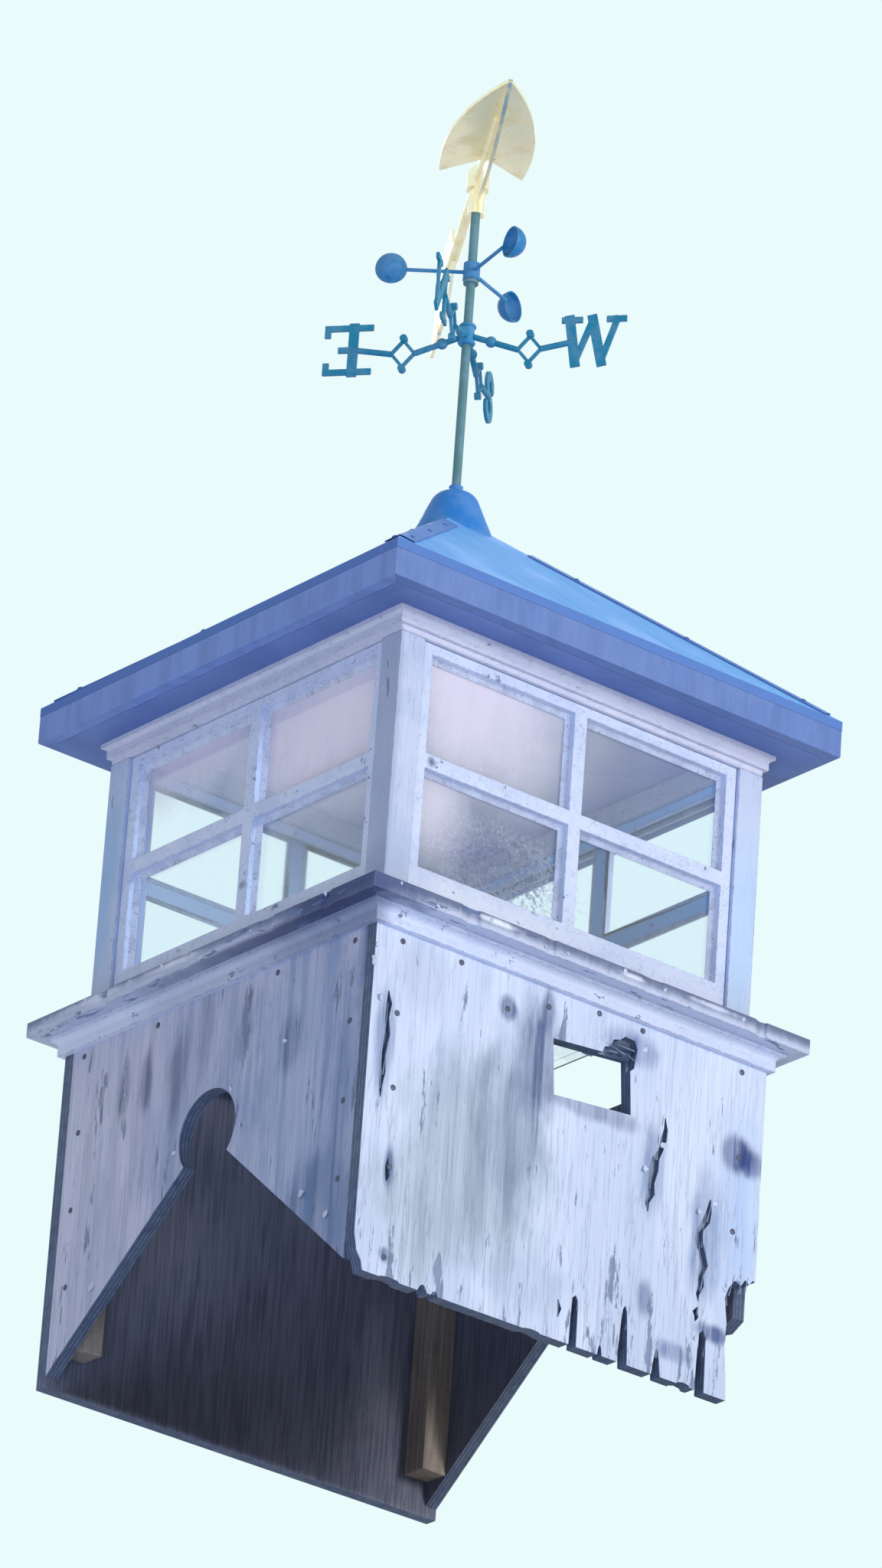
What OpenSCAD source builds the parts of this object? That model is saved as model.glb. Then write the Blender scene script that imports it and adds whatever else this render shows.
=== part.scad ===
// Barn roof cupola: a plywood skirt that straddles a ridge, a glazed lantern,
// a low hipped metal roof, and a weathervane with a wind cup rotor.
// X runs along the ridge, Y across it. The origin is on the vane's axis,
// level with the lowest edge of the skirt.

/* [Skirt] */
// Width of the square plywood skirt, outside to outside
skirt_w = 626; // [560:1:680]
// Height of the skirt from its lowest edge to the underside of the ledge
skirt_h = 474; // [420:1:560]
// Thickness of the plywood
ply_t = 18; // [12:1:24]
// Pitch of the roof that the skirt straddles, in degrees
ridge_pitch = 39.8; // [30:0.1:42]
// Radius of the relief cut over the ridge cap
relief_r = 56; // [40:1:62]
// Side of the square corner cleats inside the skirt
cleat_w = 38; // [25:1:50]

/* [Rough opening] */
// Width of the rough opening cut in the front
port_w = 123; // [90:1:150]
// Height of the rough opening
port_h = 73; // [50:1:90]
// Centre of the rough opening to the right of the axis
port_x = 35; // [0:1:60]
// Centre of the rough opening above the lowest edge
port_z = 355; // [320:1:365]
// Tilt of the rough opening, in degrees
port_tilt = 5; // [0:0.5:8]
// Height to which the veneers have torn away over its right end
torn_h = 28; // [15:1:50]
// Depth to which those veneers have torn away
torn_depth = 9; // [4:1:11]

/* [Rot and splits] */
// Height of the rotted corner at the lower right of the front
rot_h = 168; // [100:1:200]
// Width of the rotted corner
rot_w = 47; // [30:1:60]
// Height to which the right side has rotted away behind that corner
rot_side_h = 120; // [90:1:160]
// Length of the right side's foot lost to rot behind that corner
rot_side_w = 92; // [60:1:120]
// Width of the widest split at the foot of the front
split_w = 16; // [6:1:18]
// Width of the widest crack in the outer veneers of the front
crack_w = 14; // [4:1:16]
// Depth of those cracks
crack_depth = 8; // [3:1:11]
// Height of the chip off the lower left corner of the front
chip_h = 46; // [20:1:60]
// Width of that chip
chip_w = 16; // [6:1:17]
// Depth of the bites weathered out of the edges of the ledge and the front
bite_depth = 4; // [2:0.5:6]
// Length of sill and ledge rotted away under the right window
sill_gap_w = 240; // [160:1:300]
// Centre of that gap, towards the back from the axis
sill_gap_y = -14; // [-60:1:40]
// Depth of ledge that is left outside the gap
sill_rim = 22; // [15:1:35]

/* [Ledge] */
// Width of the ledge on which the lantern stands, over its edges
ledge_w = 700; // [690:1:760]
// Thickness of the ledge boards
ledge_t = 20; // [14:1:30]
// Width of the ledge boards
ledge_board_w = 110; // [100:1:130]
// Height of the moulding under the ledge
bed_h = 25; // [20:1:40]
// Projection of the moulding under the ledge
bed_p = 17; // [14:1:28]

/* [Lantern] */
// Width of the lantern over its posts
lantern_w = 590; // [560:1:620]
// Height of the lantern from the ledge to the soffit
lantern_h = 389; // [340:1:460]
// Side of the square corner posts
post_w = 38; // [30:1:50]
// Thickness of the frame that caps the posts
plate_t = 28; // [20:1:40]
// Height of the moulding under the soffit
crown_h = 20; // [18:1:35]
// Projection of the moulding under the soffit
crown_p = 11; // [9:1:24]

/* [Windows] */
// Width of the sash stiles
stile_w = 16; // [12:1:30]
// Height of the bottom rail of a sash
bottom_rail_h = 60; // [40:1:80]
// Height of the top rail of a sash
top_rail_h = 14; // [12:1:40]
// Width of the glazing bars
bar_w = 20; // [14:1:28]
// Thickness of a sash
sash_t = 22; // [20:1:30]
// Depth of the glazing bars in front of the glass
bar_d = 13; // [10:1:14]
// How far a sash sits back from the faces of the posts
sash_inset = 5; // [0:1:8]
// Gap between a sash and the frame round it
sash_gap = 1; // [0.5:0.5:2]
// Thickness of the glass
glass_t = 3; // [2:0.5:4]
// Depth of the groove that holds the glass
glass_groove = 5; // [3:1:8]
// Clearance of the glass in its groove
glass_gap = 0.4; // [0.2:0.1:0.5]

/* [Roof] */
// Width of the roof at the eave
eave_w = 728; // [680:1:800]
// Rise of the roof from the eave to the peak
roof_rise = 284; // [200:1:340]
// Height of the fascia, with the roof's edge
fascia_h = 50; // [35:1:70]
// Thickness of the fascia boards
fascia_t = 18; // [12:1:24]
// Thickness of the board that is soffit and ceiling
deck_t = 12; // [9:1:18]
// Thickness of the metal covered roof panels
panel_t = 10; // [6:1:14]

/* [Peak cap] */
// Radius of the cap at its foot
cap_r = 58; // [50:1:70]
// Height of the cap's shoulder above the peak of the roof
cap_top = 31; // [24:1:50]
// Radius of the cap's round shoulder
cap_round = 22; // [14:1:26]
// Height of the collar on the cap, round the rod
cap_collar_h = 10; // [6:1:16]
// Wall of that collar
cap_collar_wall = 3; // [2:0.5:5]

/* [Weathervane] */
// Diameter of the rod
rod_d = 12; // [10:1:14]
// Height of the compass hub above the peak of the roof
compass_z = 262; // [200:1:300]
// Height of the cup rotor above the compass hub
rotor_above = 92; // [80:1:150]
// Height of the arrow above the cup rotor
arrow_above = 134; // [100:1:180]

/* [Compass] */
// Turn of the compass about the rod, in degrees
compass_turn = -51; // [-180:1:180]
// Diameter of the band of the compass hub
compass_hub_d = 19; // [17:1:24]
// Height of the compass hub
compass_hub_h = 30; // [26:1:40]
// Diameter of the compass arms
arm_d = 8; // [6:1:10]
// Distance from the axis to the balls on the arms
knob_x = 40; // [32:1:48]
// Diameter of the balls on the arms
knob_d = 15; // [12:1:18]
// Distance from the axis to the middles of the open diamonds
diamond_x = 84; // [76:1:92]
// Width of an open diamond
diamond_w = 36; // [28:1:42]
// Height of an open diamond
diamond_h = 44; // [34:1:52]
// Width of the band that makes a diamond
diamond_band = 5; // [4:0.5:6]
// How far the diamonds hang below the hub
arm_drop = 24; // [0:1:30]
// How far the letters stand above the diamonds
letter_rise = 8; // [0:1:16]
// Distance from the axis to the near edge of a letter
letter_in = 125; // [118:1:140]
// Height of the letters
letter_h = 72; // [60:1:84]
// Thickness of the letters and diamonds
letter_t = 4; // [3:0.5:6]
// Width of the letters' thick strokes
stem_w = 13; // [8:0.5:14]
// Width of the letters' thin strokes and serifs
hair_w = 8; // [5:0.5:10]

/* [Cup rotor] */
// Radius from the axis to the centres of the cups
cup_orbit = 105; // [85:1:130]
// Diameter of a cup
cup_d = 42; // [34:1:50]
// Diameter of the arms that carry the cups
cup_arm_d = 5; // [4:0.5:8]
// Thickness of a cup's metal
cup_t = 1.6; // [1.2:0.1:3]
// Turn of the rotor about the rod, in degrees
rotor_turn = 139; // [-180:1:180]

/* [Arrow] */
// Length from the axis to the tip of the arrow
arrow_front = 285; // [220:1:340]
// Length from the axis to the end of the arrow's tail
arrow_back = 400; // [320:1:460]
// Width across the barbs
arrow_w = 118; // [90:1:140]
// Height of the upright blade of the head
arrow_h = 82; // [60:1:110]
// Distance from the axis to the widest part of the head
barb_x = 80; // [70:1:100]
// How far the barbs sweep back from the widest part
barb_sweep = 60; // [40:1:70]
// Thickness of the arrow's blades
blade_t = 5; // [3:0.5:8]
// Diameter of the arrow's shaft
shaft_d = 14; // [10:1:18]
// Height of the tail feather
feather_h = 120; // [90:1:150]
// Length of the tail feather
feather_len = 190; // [150:1:230]
// Width of the slots between the feather's barbs
feather_slot = 5; // [3:0.5:7]
// Turn of the arrow about the rod, in degrees
arrow_turn = -121; // [-180:1:180]

/* [Fits] */
// Clearance all round where a bushing turns on the rod
spin_gap = 0.08; // [0.05:0.01:0.1]
// Clearance where the rod passes a fixed part
rod_gap = 0.2; // [0.1:0.05:0.5]
// Wall of the bushings that turn on the rod
bushing_wall = 5; // [4:0.5:7]
// Height of the cup rotor's bushing
hub_h = 24; // [18:1:30]
// Height of the collar that carries the cup rotor
collar_h = 5; // [3:0.5:8]
// Gap between the collar and the cup rotor
collar_gap = 0.5; // [0.3:0.1:1]
// How far the arrow's socket reaches below the arrow
socket_below = 50; // [40:1:60]
// How far the rod reaches above the arrow's shaft
rod_above = 12; // [8:1:18]
// Wall of the eye that holds the arrow to its socket
eye_wall = 4; // [3:0.5:6]
// Height of that eye
eye_h = 26; // [20:1:32]

/* [Hidden] */

white_paint = "gainsboro";
shade_paint = "lightsteelblue";
bare_wood = "burlywood";
roof_blue = "cornflowerblue";
vane_blue = "midnightblue";
gilt = "goldenrod";

$fn = 48;
// Facets of the long, shallow arcs of the arrow's head
long_arc_fn = 240;
// Steps in the round shoulder of the cap
cap_steps = 12;
// How far a cutting solid reaches past the face that it cuts
over = 1;

// Levels
ledge_z = skirt_h + ledge_t;
soffit_z = ledge_z + lantern_h;
plate_z = soffit_z - plate_t;
eave_z = soffit_z + fascia_h;
peak_z = eave_z + roof_rise;
arms_z = peak_z + compass_z;
rotor_z = arms_z + rotor_above;
arrow_z = rotor_z + arrow_above;
rod_top = arrow_z + rod_above;

// Skirt and roof
skirt_in = skirt_w / 2 - ply_t;
saddle_rise = skirt_w / 2 * tan(ridge_pitch);
roof_angle = atan(roof_rise / (eave_w / 2));

// Windows
sash_w = lantern_w - 2 * post_w - 2 * sash_gap;
sash_h = plate_z - ledge_z - sash_gap;
sight_w = sash_w - 2 * stile_w;
sight_h = sash_h - top_rail_h - bottom_rail_h;

// Vane
rod_r = rod_d / 2;
bushing_r = rod_r + bushing_wall;
compass_hub_r = compass_hub_d / 2;

// Splits at the foot of the front: place across and height, as shares of its
// width and height, width as a share of the widest, and width near the upper
// end as a share of the width at the foot
front_splits = [
    [-0.327, 0.019, 1, 0.3], [-0.297, 0.012, 0.7, 0.4], [0.048, 0.139, 0.75, 0.85],
    [0.117, 0.029, 0.5, 0.3], [0.174, 0.160, 1, 0.45], [0.260, 0.076, 0.9, 0.25],
    [0.372, 0.169, 0.95, 0.8]
];
// Cracks along its grain, from the upper end down: place across and height in
// the same shares, and width there as a share of the widest
front_cracks = [
    [
        [0.247, 0.712, 0.1], [0.250, 0.680, 0.45], [0.246, 0.650, 0.7], [0.240, 0.618, 0.55],
        [0.229, 0.592, 0.8], [0.226, 0.560, 1], [0.221, 0.520, 0.75], [0.222, 0.490, 0.85],
        [0.213, 0.462, 0.5], [0.216, 0.437, 0.1]
    ],
    [
        [0.374, 0.534, 0.1], [0.372, 0.500, 0.6], [0.366, 0.470, 0.9], [0.352, 0.440, 0.7],
        [0.350, 0.408, 1], [0.360, 0.380, 0.85], [0.366, 0.350, 1], [0.360, 0.318, 0.6],
        [0.362, 0.290, 0.7], [0.355, 0.262, 0.4], [0.357, 0.243, 0.1]
    ],
    [[0.357, 0.228, 0.1], [0.351, 0.212, 0.6], [0.355, 0.200, 0.5], [0.352, 0.186, 0.1]],
    [
        [-0.460, 0.772, 0.1], [-0.456, 0.740, 0.6], [-0.459, 0.700, 0.45], [-0.456, 0.655, 0.65],
        [-0.461, 0.600, 0.4], [-0.459, 0.550, 0.5], [-0.463, 0.510, 0.35], [-0.462, 0.478, 0.1]
    ],
    [[-0.432, 0.322, 0.1], [-0.433, 0.298, 0.4], [-0.431, 0.275, 0.45], [-0.433, 0.258, 0.1]],
    [[0.006, 0.110, 0.1], [0.011, 0.088, 0.45], [0.007, 0.062, 0.1]]
];
// Bites out of an edge: start and length as shares of the edge, and depth as a
// share of the deepest
foot_bites = [[-0.44, 0.06, 0.8], [-0.08, 0.05, 0.6], [0.31, 0.04, 1]];
front_bites = [[-0.31, 0.05, 0.8], [-0.12, 0.03, 0.5], [0.10, 0.06, 0.6], [0.37, 0.03, 1]];
left_bites = [[-0.30, 0.04, 1], [-0.05, 0.03, 0.5], [0.17, 0.05, 0.7], [0.35, 0.03, 0.6]];

// A flat outline in XZ stood up as a board with its outer face at y = 0
module board(t) {
    translate([0, t, 0])
        rotate([90, 0, 0])
            linear_extrude(t) children();
}

// Turns the front of the cupola to one of its four sides
module side(turn) {
    rotate([0, 0, turn]) children();
}

// Bites out of an edge that lies along X, with the wood above it
module bites(list, edge_len) {
    for (b = list) {
        len = b[1] * edge_len;
        deep = b[2] * bite_depth;
        translate([b[0] * edge_len, 0])
            polygon([
                [0, -over], [len, -over], [len * 0.86, deep * 0.7],
                [len * 0.5, deep], [len * 0.2, deep * 0.5]
            ]);
    }
}

// Skirt

// A split that opens at the foot of a board and closes above
module split(x, h, w, narrowing) {
    upper = w * narrowing;
    translate([x, 0])
        polygon([
            [-w / 2, -over], [w / 2, -over], [(w + upper) / 4, h * 0.55],
            [upper / 2, h * 0.9], [upper * 0.1, h], [-upper * 0.4, h * 0.93],
            [-(w * 0.9 + upper) / 4, h * 0.6]
        ]);
}

// A crack through the given points, as wide at each as it says
module crack(points) {
    last = len(points) - 1;
    polygon(concat(
        [for (k = [0 : last]) [points[k][0] + points[k][2] / 2, points[k][1]]],
        [for (k = [last : -1 : 0]) [points[k][0] - points[k][2] / 2, points[k][1]]]
    ));
}

module front_crack_outlines() {
    for (c = front_cracks)
        crack([for (p = c) [p[0] * skirt_w, p[1] * skirt_h, p[2] * crack_w]]);
}

module at_port() {
    translate([port_x, port_z]) rotate(port_tilt) children();
}

// Where the outer veneers have torn away over the right end of the opening
module torn_outline() {
    edge = port_h / 2;
    at_port()
        polygon([
            [port_w * 0.13, edge - over], [port_w * 0.17, edge + torn_h * 0.28],
            [port_w * 0.24, edge + torn_h * 0.36], [port_w * 0.29, edge + torn_h * 0.72],
            [port_w * 0.38, edge + torn_h * 0.80], [port_w * 0.44, edge + torn_h],
            [port_w * 0.57, edge + torn_h * 0.92], [port_w * 0.60, edge + torn_h * 0.55],
            [port_w * 0.575, edge + torn_h * 0.15], [port_w * 0.55, edge * 0.7],
            [port_w * 0.49, edge * 0.55]
        ]);
}

// The part of a board lost at its lower right corner, which is at the origin
module rotted_corner(w, h) {
    polygon([
        [over, -over], [over, h * 0.99], [-w * 0.08, h], [-w * 0.2, h * 0.955],
        [-w * 0.34, h * 0.985], [-w * 0.47, h * 0.93], [-w * 0.7, h * 0.95],
        [-w * 0.88, h * 0.88], [-w, h * 0.79], [-w * 0.9, h * 0.6],
        [-w * 0.93, h * 0.42], [-w * 0.84, h * 0.2], [-w * 0.79, -over]
    ]);
}

module front_outline() {
    difference() {
        translate([-skirt_w / 2, 0]) square([skirt_w, skirt_h]);
        at_port() square([port_w, port_h], center = true);
        translate([skirt_w / 2, 0]) rotted_corner(rot_w, rot_h);
        translate([-skirt_w / 2, 0])
            polygon([
                [-over, -over], [chip_w, -over], [chip_w * 0.8, chip_h * 0.25],
                [chip_w * 0.3, chip_h * 0.5], [0, chip_h], [-over, chip_h]
            ]);
        for (s = front_splits)
            split(s[0] * skirt_w, s[1] * skirt_h, s[2] * split_w, s[3]);
        bites(foot_bites, skirt_w);
    }
}

module base_front() {
    color(white_paint)
        translate([0, -skirt_w / 2, 0])
            difference() {
                board(ply_t) front_outline();
                translate([0, -over, 0]) board(torn_depth + over) torn_outline();
                translate([0, -over, 0]) board(crack_depth + over) front_crack_outlines();
            }
}

module base_back() {
    color(white_paint)
        side(180)
            translate([0, -skirt_w / 2, 0])
                board(ply_t)
                    translate([-skirt_w / 2, 0]) square([skirt_w, skirt_h]);
}

// A side panel: its foot straddles the ridge, with a relief for the ridge cap
module saddle_outline() {
    foot = ply_t * tan(ridge_pitch);
    difference() {
        polygon([
            [-skirt_in, foot], [0, saddle_rise], [skirt_in, foot],
            [skirt_in, skirt_h], [-skirt_in, skirt_h]
        ]);
        translate([0, saddle_rise]) circle(relief_r);
    }
}

module base_left() {
    color(shade_paint)
        side(-90)
            translate([0, -skirt_w / 2, 0])
                board(ply_t) saddle_outline();
}

module base_right() {
    w = rot_side_w;
    h = rot_side_h;
    color(white_paint)
        side(90)
            translate([0, -skirt_w / 2, 0])
                board(ply_t)
                    difference() {
                        saddle_outline();
                        translate([-skirt_in, 0])
                            polygon([
                                [-over, 0], [w, 0], [w * 0.86, h * 0.74], [w * 0.62, h * 0.80],
                                [w * 0.50, h * 0.93], [w * 0.22, h * 0.90], [-over, h]
                            ]);
                    }
}

module base_corner_cleats() {
    foot = (ply_t + cleat_w) * tan(ridge_pitch);
    color(bare_wood)
        for (sx = [-1, 1], sy = [-1, 1]) {
            // The cleat behind the rotted corner has lost its foot
            low = sx > 0 && sy < 0 ? max(foot, rot_h) : foot;
            translate([
                sx * (skirt_in - cleat_w / 2) - cleat_w / 2,
                sy * (skirt_in - cleat_w / 2) - cleat_w / 2,
                low
            ])
                cube([cleat_w, cleat_w, skirt_h - low]);
        }
}

// Ledge

// A mitred board along the front, from the outer edge inwards
module mitred(outer_w, board_w) {
    out = outer_w / 2;
    in = out - board_w;
    polygon([[-out, -out], [out, -out], [in, -in], [-in, -in]]);
}

module ledge_board(turn, edge_bites) {
    color(shade_paint)
        side(turn)
            translate([0, 0, skirt_h])
                linear_extrude(ledge_t)
                    difference() {
                        mitred(ledge_w, ledge_board_w);
                        translate([0, -ledge_w / 2]) bites(edge_bites, ledge_w);
                        children();
                    }
}

module ledge_front() { ledge_board(0, front_bites); }
module ledge_back() { ledge_board(180, []); }
module ledge_left() { ledge_board(-90, left_bites); }

// The right board has rotted through behind its rim
module ledge_right() {
    a = sill_gap_w / 2;
    in = ledge_board_w + over;
    ledge_board(90, [])
        translate([sill_gap_y, -ledge_w / 2])
            polygon([
                [-a, in], [-a * 0.94, sill_rim * 2], [-a * 0.8, sill_rim * 1.2],
                [-a * 0.3, sill_rim], [a * 0.35, sill_rim * 1.15], [a * 0.85, sill_rim],
                [a * 0.96, sill_rim * 2.2], [a, in]
            ]);
}

// Cross-section of a bed moulding: x out from the wall, y = 0 at its top.
// A fillet at the foot, a cove over it, and a lip under the board
module moulding_profile(p, h) {
    foot = p * 0.45;
    fillet = h * 0.48;
    r = min(p - foot - over, h - fillet - 2 * over);
    difference() {
        polygon([
            [0, -h], [foot, -h], [foot, -h + fillet], [foot + r, -h + fillet + r],
            [p, -h + fillet + r], [p, 0], [0, 0]
        ]);
        translate([foot + r, -h + fillet]) circle(r);
    }
}

// A square ring of mitred moulding with its back at the given half width
module moulding_ring(half, p, h) {
    big = half + p + over;
    for (turn = [0 : 90 : 270])
        side(turn)
            intersection() {
                translate([-big, -half, 0])
                    rotate([90, 0, 90])
                        linear_extrude(2 * big)
                            mirror([1, 0]) moulding_profile(p, h);
                translate([0, 0, -h])
                    linear_extrude(h)
                        polygon([[0, 0], [-big, -big], [big, -big]]);
            }
}

module ledge_moulding() {
    color(white_paint)
        translate([0, 0, skirt_h]) moulding_ring(skirt_w / 2, bed_p, bed_h);
}

// Lantern

module post(sx, sy) {
    off = lantern_w / 2 - post_w / 2;
    color(white_paint)
        translate([sx * off - post_w / 2, sy * off - post_w / 2, ledge_z])
            cube([post_w, post_w, plate_z - ledge_z]);
}

module post_front_left() { post(-1, -1); }
module post_front_right() { post(1, -1); }
module post_back_left() { post(-1, 1); }
module post_back_right() { post(1, 1); }

module top_plate() {
    color(white_paint)
        translate([0, 0, plate_z])
            linear_extrude(plate_t)
                difference() {
                    square(lantern_w, center = true);
                    square(lantern_w - 2 * post_w, center = true);
                }
}

// A two by two light sash, seen from outside, with its foot at z = 0
module sash_panel() {
    pane_w = (sight_w - bar_w) / 2;
    pane_h = (sight_h - bar_w) / 2;
    difference() {
        translate([-sash_w / 2, 0, 0]) cube([sash_w, sash_t, sash_h]);
        for (sx = [-1, 1], row = [0, 1])
            translate([
                sx * (pane_w + bar_w) / 2 - pane_w / 2, -over,
                bottom_rail_h + row * (pane_h + bar_w)
            ])
                cube([pane_w, sash_t + 2 * over, pane_h]);
        // Behind the glass the bars stop and the light is one opening
        translate([-sight_w / 2, bar_d, bottom_rail_h])
            cube([sight_w, sash_t, sight_h]);
        // Groove for the glass
        translate([-sight_w / 2 - glass_groove, bar_d, bottom_rail_h - glass_groove])
            cube([
                sight_w + 2 * glass_groove, glass_t + glass_gap, sight_h + 2 * glass_groove
            ]);
    }
}

module sash(turn) {
    color(white_paint)
        side(turn)
            translate([0, -lantern_w / 2 + sash_inset, ledge_z])
                difference() {
                    sash_panel();
                    children();
                }
}

module sash_front() { sash(0); }
module sash_back() { sash(180); }
module sash_left() { sash(-90); }

// The bottom rail of the right sash has rotted away over the gap in the ledge
module sash_right() {
    a = sill_gap_w / 2;
    h = bottom_rail_h;
    sash(90)
        translate([sill_gap_y, -over, 0])
            board(sash_t + 2 * over)
                polygon([
                    [-a * 0.9, -over], [a * 0.86, -over], [a, h * 0.35], [a * 0.82, h * 0.6],
                    [a * 0.88, h + over], [-a * 0.84, h + over], [-a, h * 0.5],
                    [-a * 0.88, h * 0.3]
                ]);
}

// One sheet of glass that stands in the groove of a sash
module glass(turn) {
    grow = glass_groove - glass_gap;
    color("lightcyan", 0.4)
        side(turn)
            translate([
                -sight_w / 2 - grow,
                -lantern_w / 2 + sash_inset + bar_d,
                ledge_z + bottom_rail_h - glass_groove
            ])
                cube([sight_w + 2 * grow, glass_t, sight_h + 2 * grow]);
}

module glass_front() { glass(0); }
module glass_back() { glass(180); }
module glass_left() { glass(-90); }
module glass_right() { glass(90); }

module crown_moulding() {
    color(white_paint)
        translate([0, 0, soffit_z]) moulding_ring(lantern_w / 2, crown_p, crown_h);
}

// Roof

module roof_deck() {
    w = eave_w - 2 * fascia_t;
    color(shade_paint)
        translate([-w / 2, -w / 2, soffit_z]) cube([w, w, deck_t]);
}

// A slab along the front slope, between two depths under its face
module slope_slab(top, bottom) {
    translate([0, -eave_w / 2, eave_z])
        rotate([roof_angle, 0, 0])
            translate([-eave_w, -eave_w / 2, -bottom])
                cube([2 * eave_w, 2 * eave_w, bottom - top]);
}

// A fascia board, bevelled along its top to carry the roof panel
module fascia_board(turn) {
    color(roof_blue)
        side(turn)
            difference() {
                translate([0, 0, soffit_z])
                    linear_extrude(fascia_h) mitred(eave_w, fascia_t);
                slope_slab(-eave_w, panel_t);
            }
}

module fascia_front() { fascia_board(0); }
module fascia_back() { fascia_board(180); }
module fascia_left() { fascia_board(-90); }
module fascia_right() { fascia_board(90); }

// One panel of the roof, mitred at the hips and cut plumb at the eave
module slope(turn) {
    half = eave_w / 2;
    color(roof_blue)
        side(turn)
            difference() {
                intersection() {
                    slope_slab(0, panel_t);
                    translate([0, 0, soffit_z])
                        linear_extrude(fascia_h + roof_rise)
                            polygon([[0, 0], [-half, -half], [half, -half]]);
                }
                translate([0, 0, soffit_z])
                    cylinder(r = rod_r + rod_gap, h = fascia_h + roof_rise + over);
            }
}

module roof_front() { slope(0); }
module roof_back() { slope(180); }
module roof_left() { slope(-90); }
module roof_right() { slope(90); }

// The steep round cap over the peak, cut below to sit on all four slopes
module peak_cap() {
    hole_r = rod_r + rod_gap;
    collar_r = hole_r + cap_collar_wall;
    // A little below the slopes, which then trim the foot all round
    foot = -cap_r * tan(roof_angle) - over;
    // Centre of the round shoulder, and where the straight flank leaves it
    axis_x = max(cap_round / 2, collar_r);
    axis_z = cap_top - cap_round;
    reach = norm([cap_r - axis_x, foot - axis_z]);
    lean = atan2(foot - axis_z, cap_r - axis_x) + acos(cap_round / reach);
    color(vane_blue)
        difference() {
            translate([0, 0, peak_z])
                rotate_extrude()
                    polygon(concat(
                        [
                            [hole_r, cap_top + cap_collar_h], [collar_r, cap_top + cap_collar_h],
                            [collar_r, cap_top]
                        ],
                        [for (a = [90 : (lean - 90) / cap_steps : lean - 0.01])
                            [axis_x + cap_round * cos(a), axis_z + cap_round * sin(a)]],
                        [[cap_r, foot], [hole_r, foot]]
                    ));
            intersection_for(turn = [0 : 90 : 270])
                side(turn) slope_slab(0, eave_w);
        }
}

// Weathervane

// The rod stands on the roof deck; a collar carries the cup rotor
module vane_rod() {
    tip = rod_r;
    color(vane_blue) {
        translate([0, 0, soffit_z + deck_t])
            cylinder(r = rod_r, h = rod_top - tip - soffit_z - deck_t);
        translate([0, 0, rod_top - tip])
            cylinder(r1 = rod_r, r2 = rod_r / 3, h = tip);
        translate([0, 0, rotor_z - hub_h / 2 - collar_gap - collar_h])
            cylinder(r = bushing_r - over, h = collar_h);
    }
}

// A turned hub with a bead near each end
module compass_hub() {
    bead = (compass_hub_r - rod_r) * 0.6;
    color(vane_blue)
        translate([0, 0, arms_z])
            rotate_extrude() {
                translate([rod_r, -compass_hub_h / 2])
                    square([compass_hub_r - rod_r, compass_hub_h]);
                for (end = [-1, 1])
                    translate([compass_hub_r, end * (compass_hub_h / 2 - bead - over)])
                        circle(bead);
            }
}

// A turned bar in the XZ plane between two points, with a ball part of the way
// along it, or none where its diameter is that of the bar
module turned_bar(a, b, at, ball_d) {
    run = b - a;
    bar_len = norm(run);
    translate([a[0], 0, a[1]])
        rotate([0, atan2(run[0], run[1]), 0])
            rotate_extrude()
                intersection() {
                    union() {
                        square([arm_d / 2, bar_len]);
                        if (ball_d > arm_d) translate([0, bar_len * at]) circle(d = ball_d);
                    }
                    square([ball_d, bar_len]);
                }
}

// A stroke of a letter between two points
module stroke(a, b, w) {
    d = b - a;
    translate(a)
        rotate(atan2(d[1], d[0]))
            translate([-w / 2, -w / 2]) square([norm(d) + w, w]);
}

// Half of a ring, open on its right before it is turned
module half_ring(r, w, turn) {
    rotate(turn)
        difference() {
            circle(r + w / 2);
            circle(r - w / 2);
            translate([0, -2 * r]) square(4 * r);
        }
}

// Capital letters with serifs, drawn from their lower inner corner
module letter(name) {
    h = letter_h;
    t = stem_w / 2;
    n = hair_w / 2;
    top = h - n;
    serif = h * 0.13;
    if (name == "E") {
        stem = h * 0.36;
        out = h * 0.90 - n;
        stroke([stem, n], [stem, top], stem_w);
        for (z = [n, top]) stroke([n, z], [out, z], hair_w);
        stroke([stem, h / 2], [h * 0.58, h / 2], hair_w);
        stroke([out, n], [out, n + serif], hair_w);
        stroke([out, top], [out, top - serif], hair_w);
    }
    if (name == "N") {
        near = serif + n;
        far = h * 0.76;
        for (x = [near, far]) stroke([x, n], [x, top], hair_w);
        stroke([near, top], [far, n], stem_w);
        stroke([n, top], [near, top], hair_w);
        stroke([n, n], [near + serif, n], hair_w);
        stroke([far - serif, top], [far + serif, top], hair_w);
    }
    if (name == "W") {
        // Thick strokes fall and thin ones rise, from one foot to the next
        tops = [h * 0.15, h * 0.57, h * 1.02];
        feet = [h * 0.28, h * 0.76];
        for (k = [0, 1]) {
            stroke([tops[k], top], [feet[k], t], stem_w);
            stroke([feet[k], t], [tops[k + 1], top], hair_w);
        }
        stroke([n, top], [h * 0.33, top], hair_w);
        stroke([h * 0.88, top], [h * 1.14, top], hair_w);
    }
    if (name == "S") {
        r = (h - stem_w) / 4;
        mid = r + t;
        translate([mid, h / 2 + r]) {
            half_ring(r, stem_w, 0);
            half_ring(r, stem_w, -90);
        }
        translate([mid, h / 2 - r]) {
            half_ring(r, stem_w, 180);
            half_ring(r, stem_w, 90);
        }
        stroke([mid + r, h / 2 + r], [mid + r, h / 2 + r + serif], hair_w);
        stroke([mid - r, h / 2 - r], [mid - r, h / 2 - r - serif], hair_w);
    }
}

// An upright plate in the plane of an arm or a blade
module upright(t) {
    translate([0, t / 2, 0])
        rotate([90, 0, 0])
            linear_extrude(t) children();
}

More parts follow.
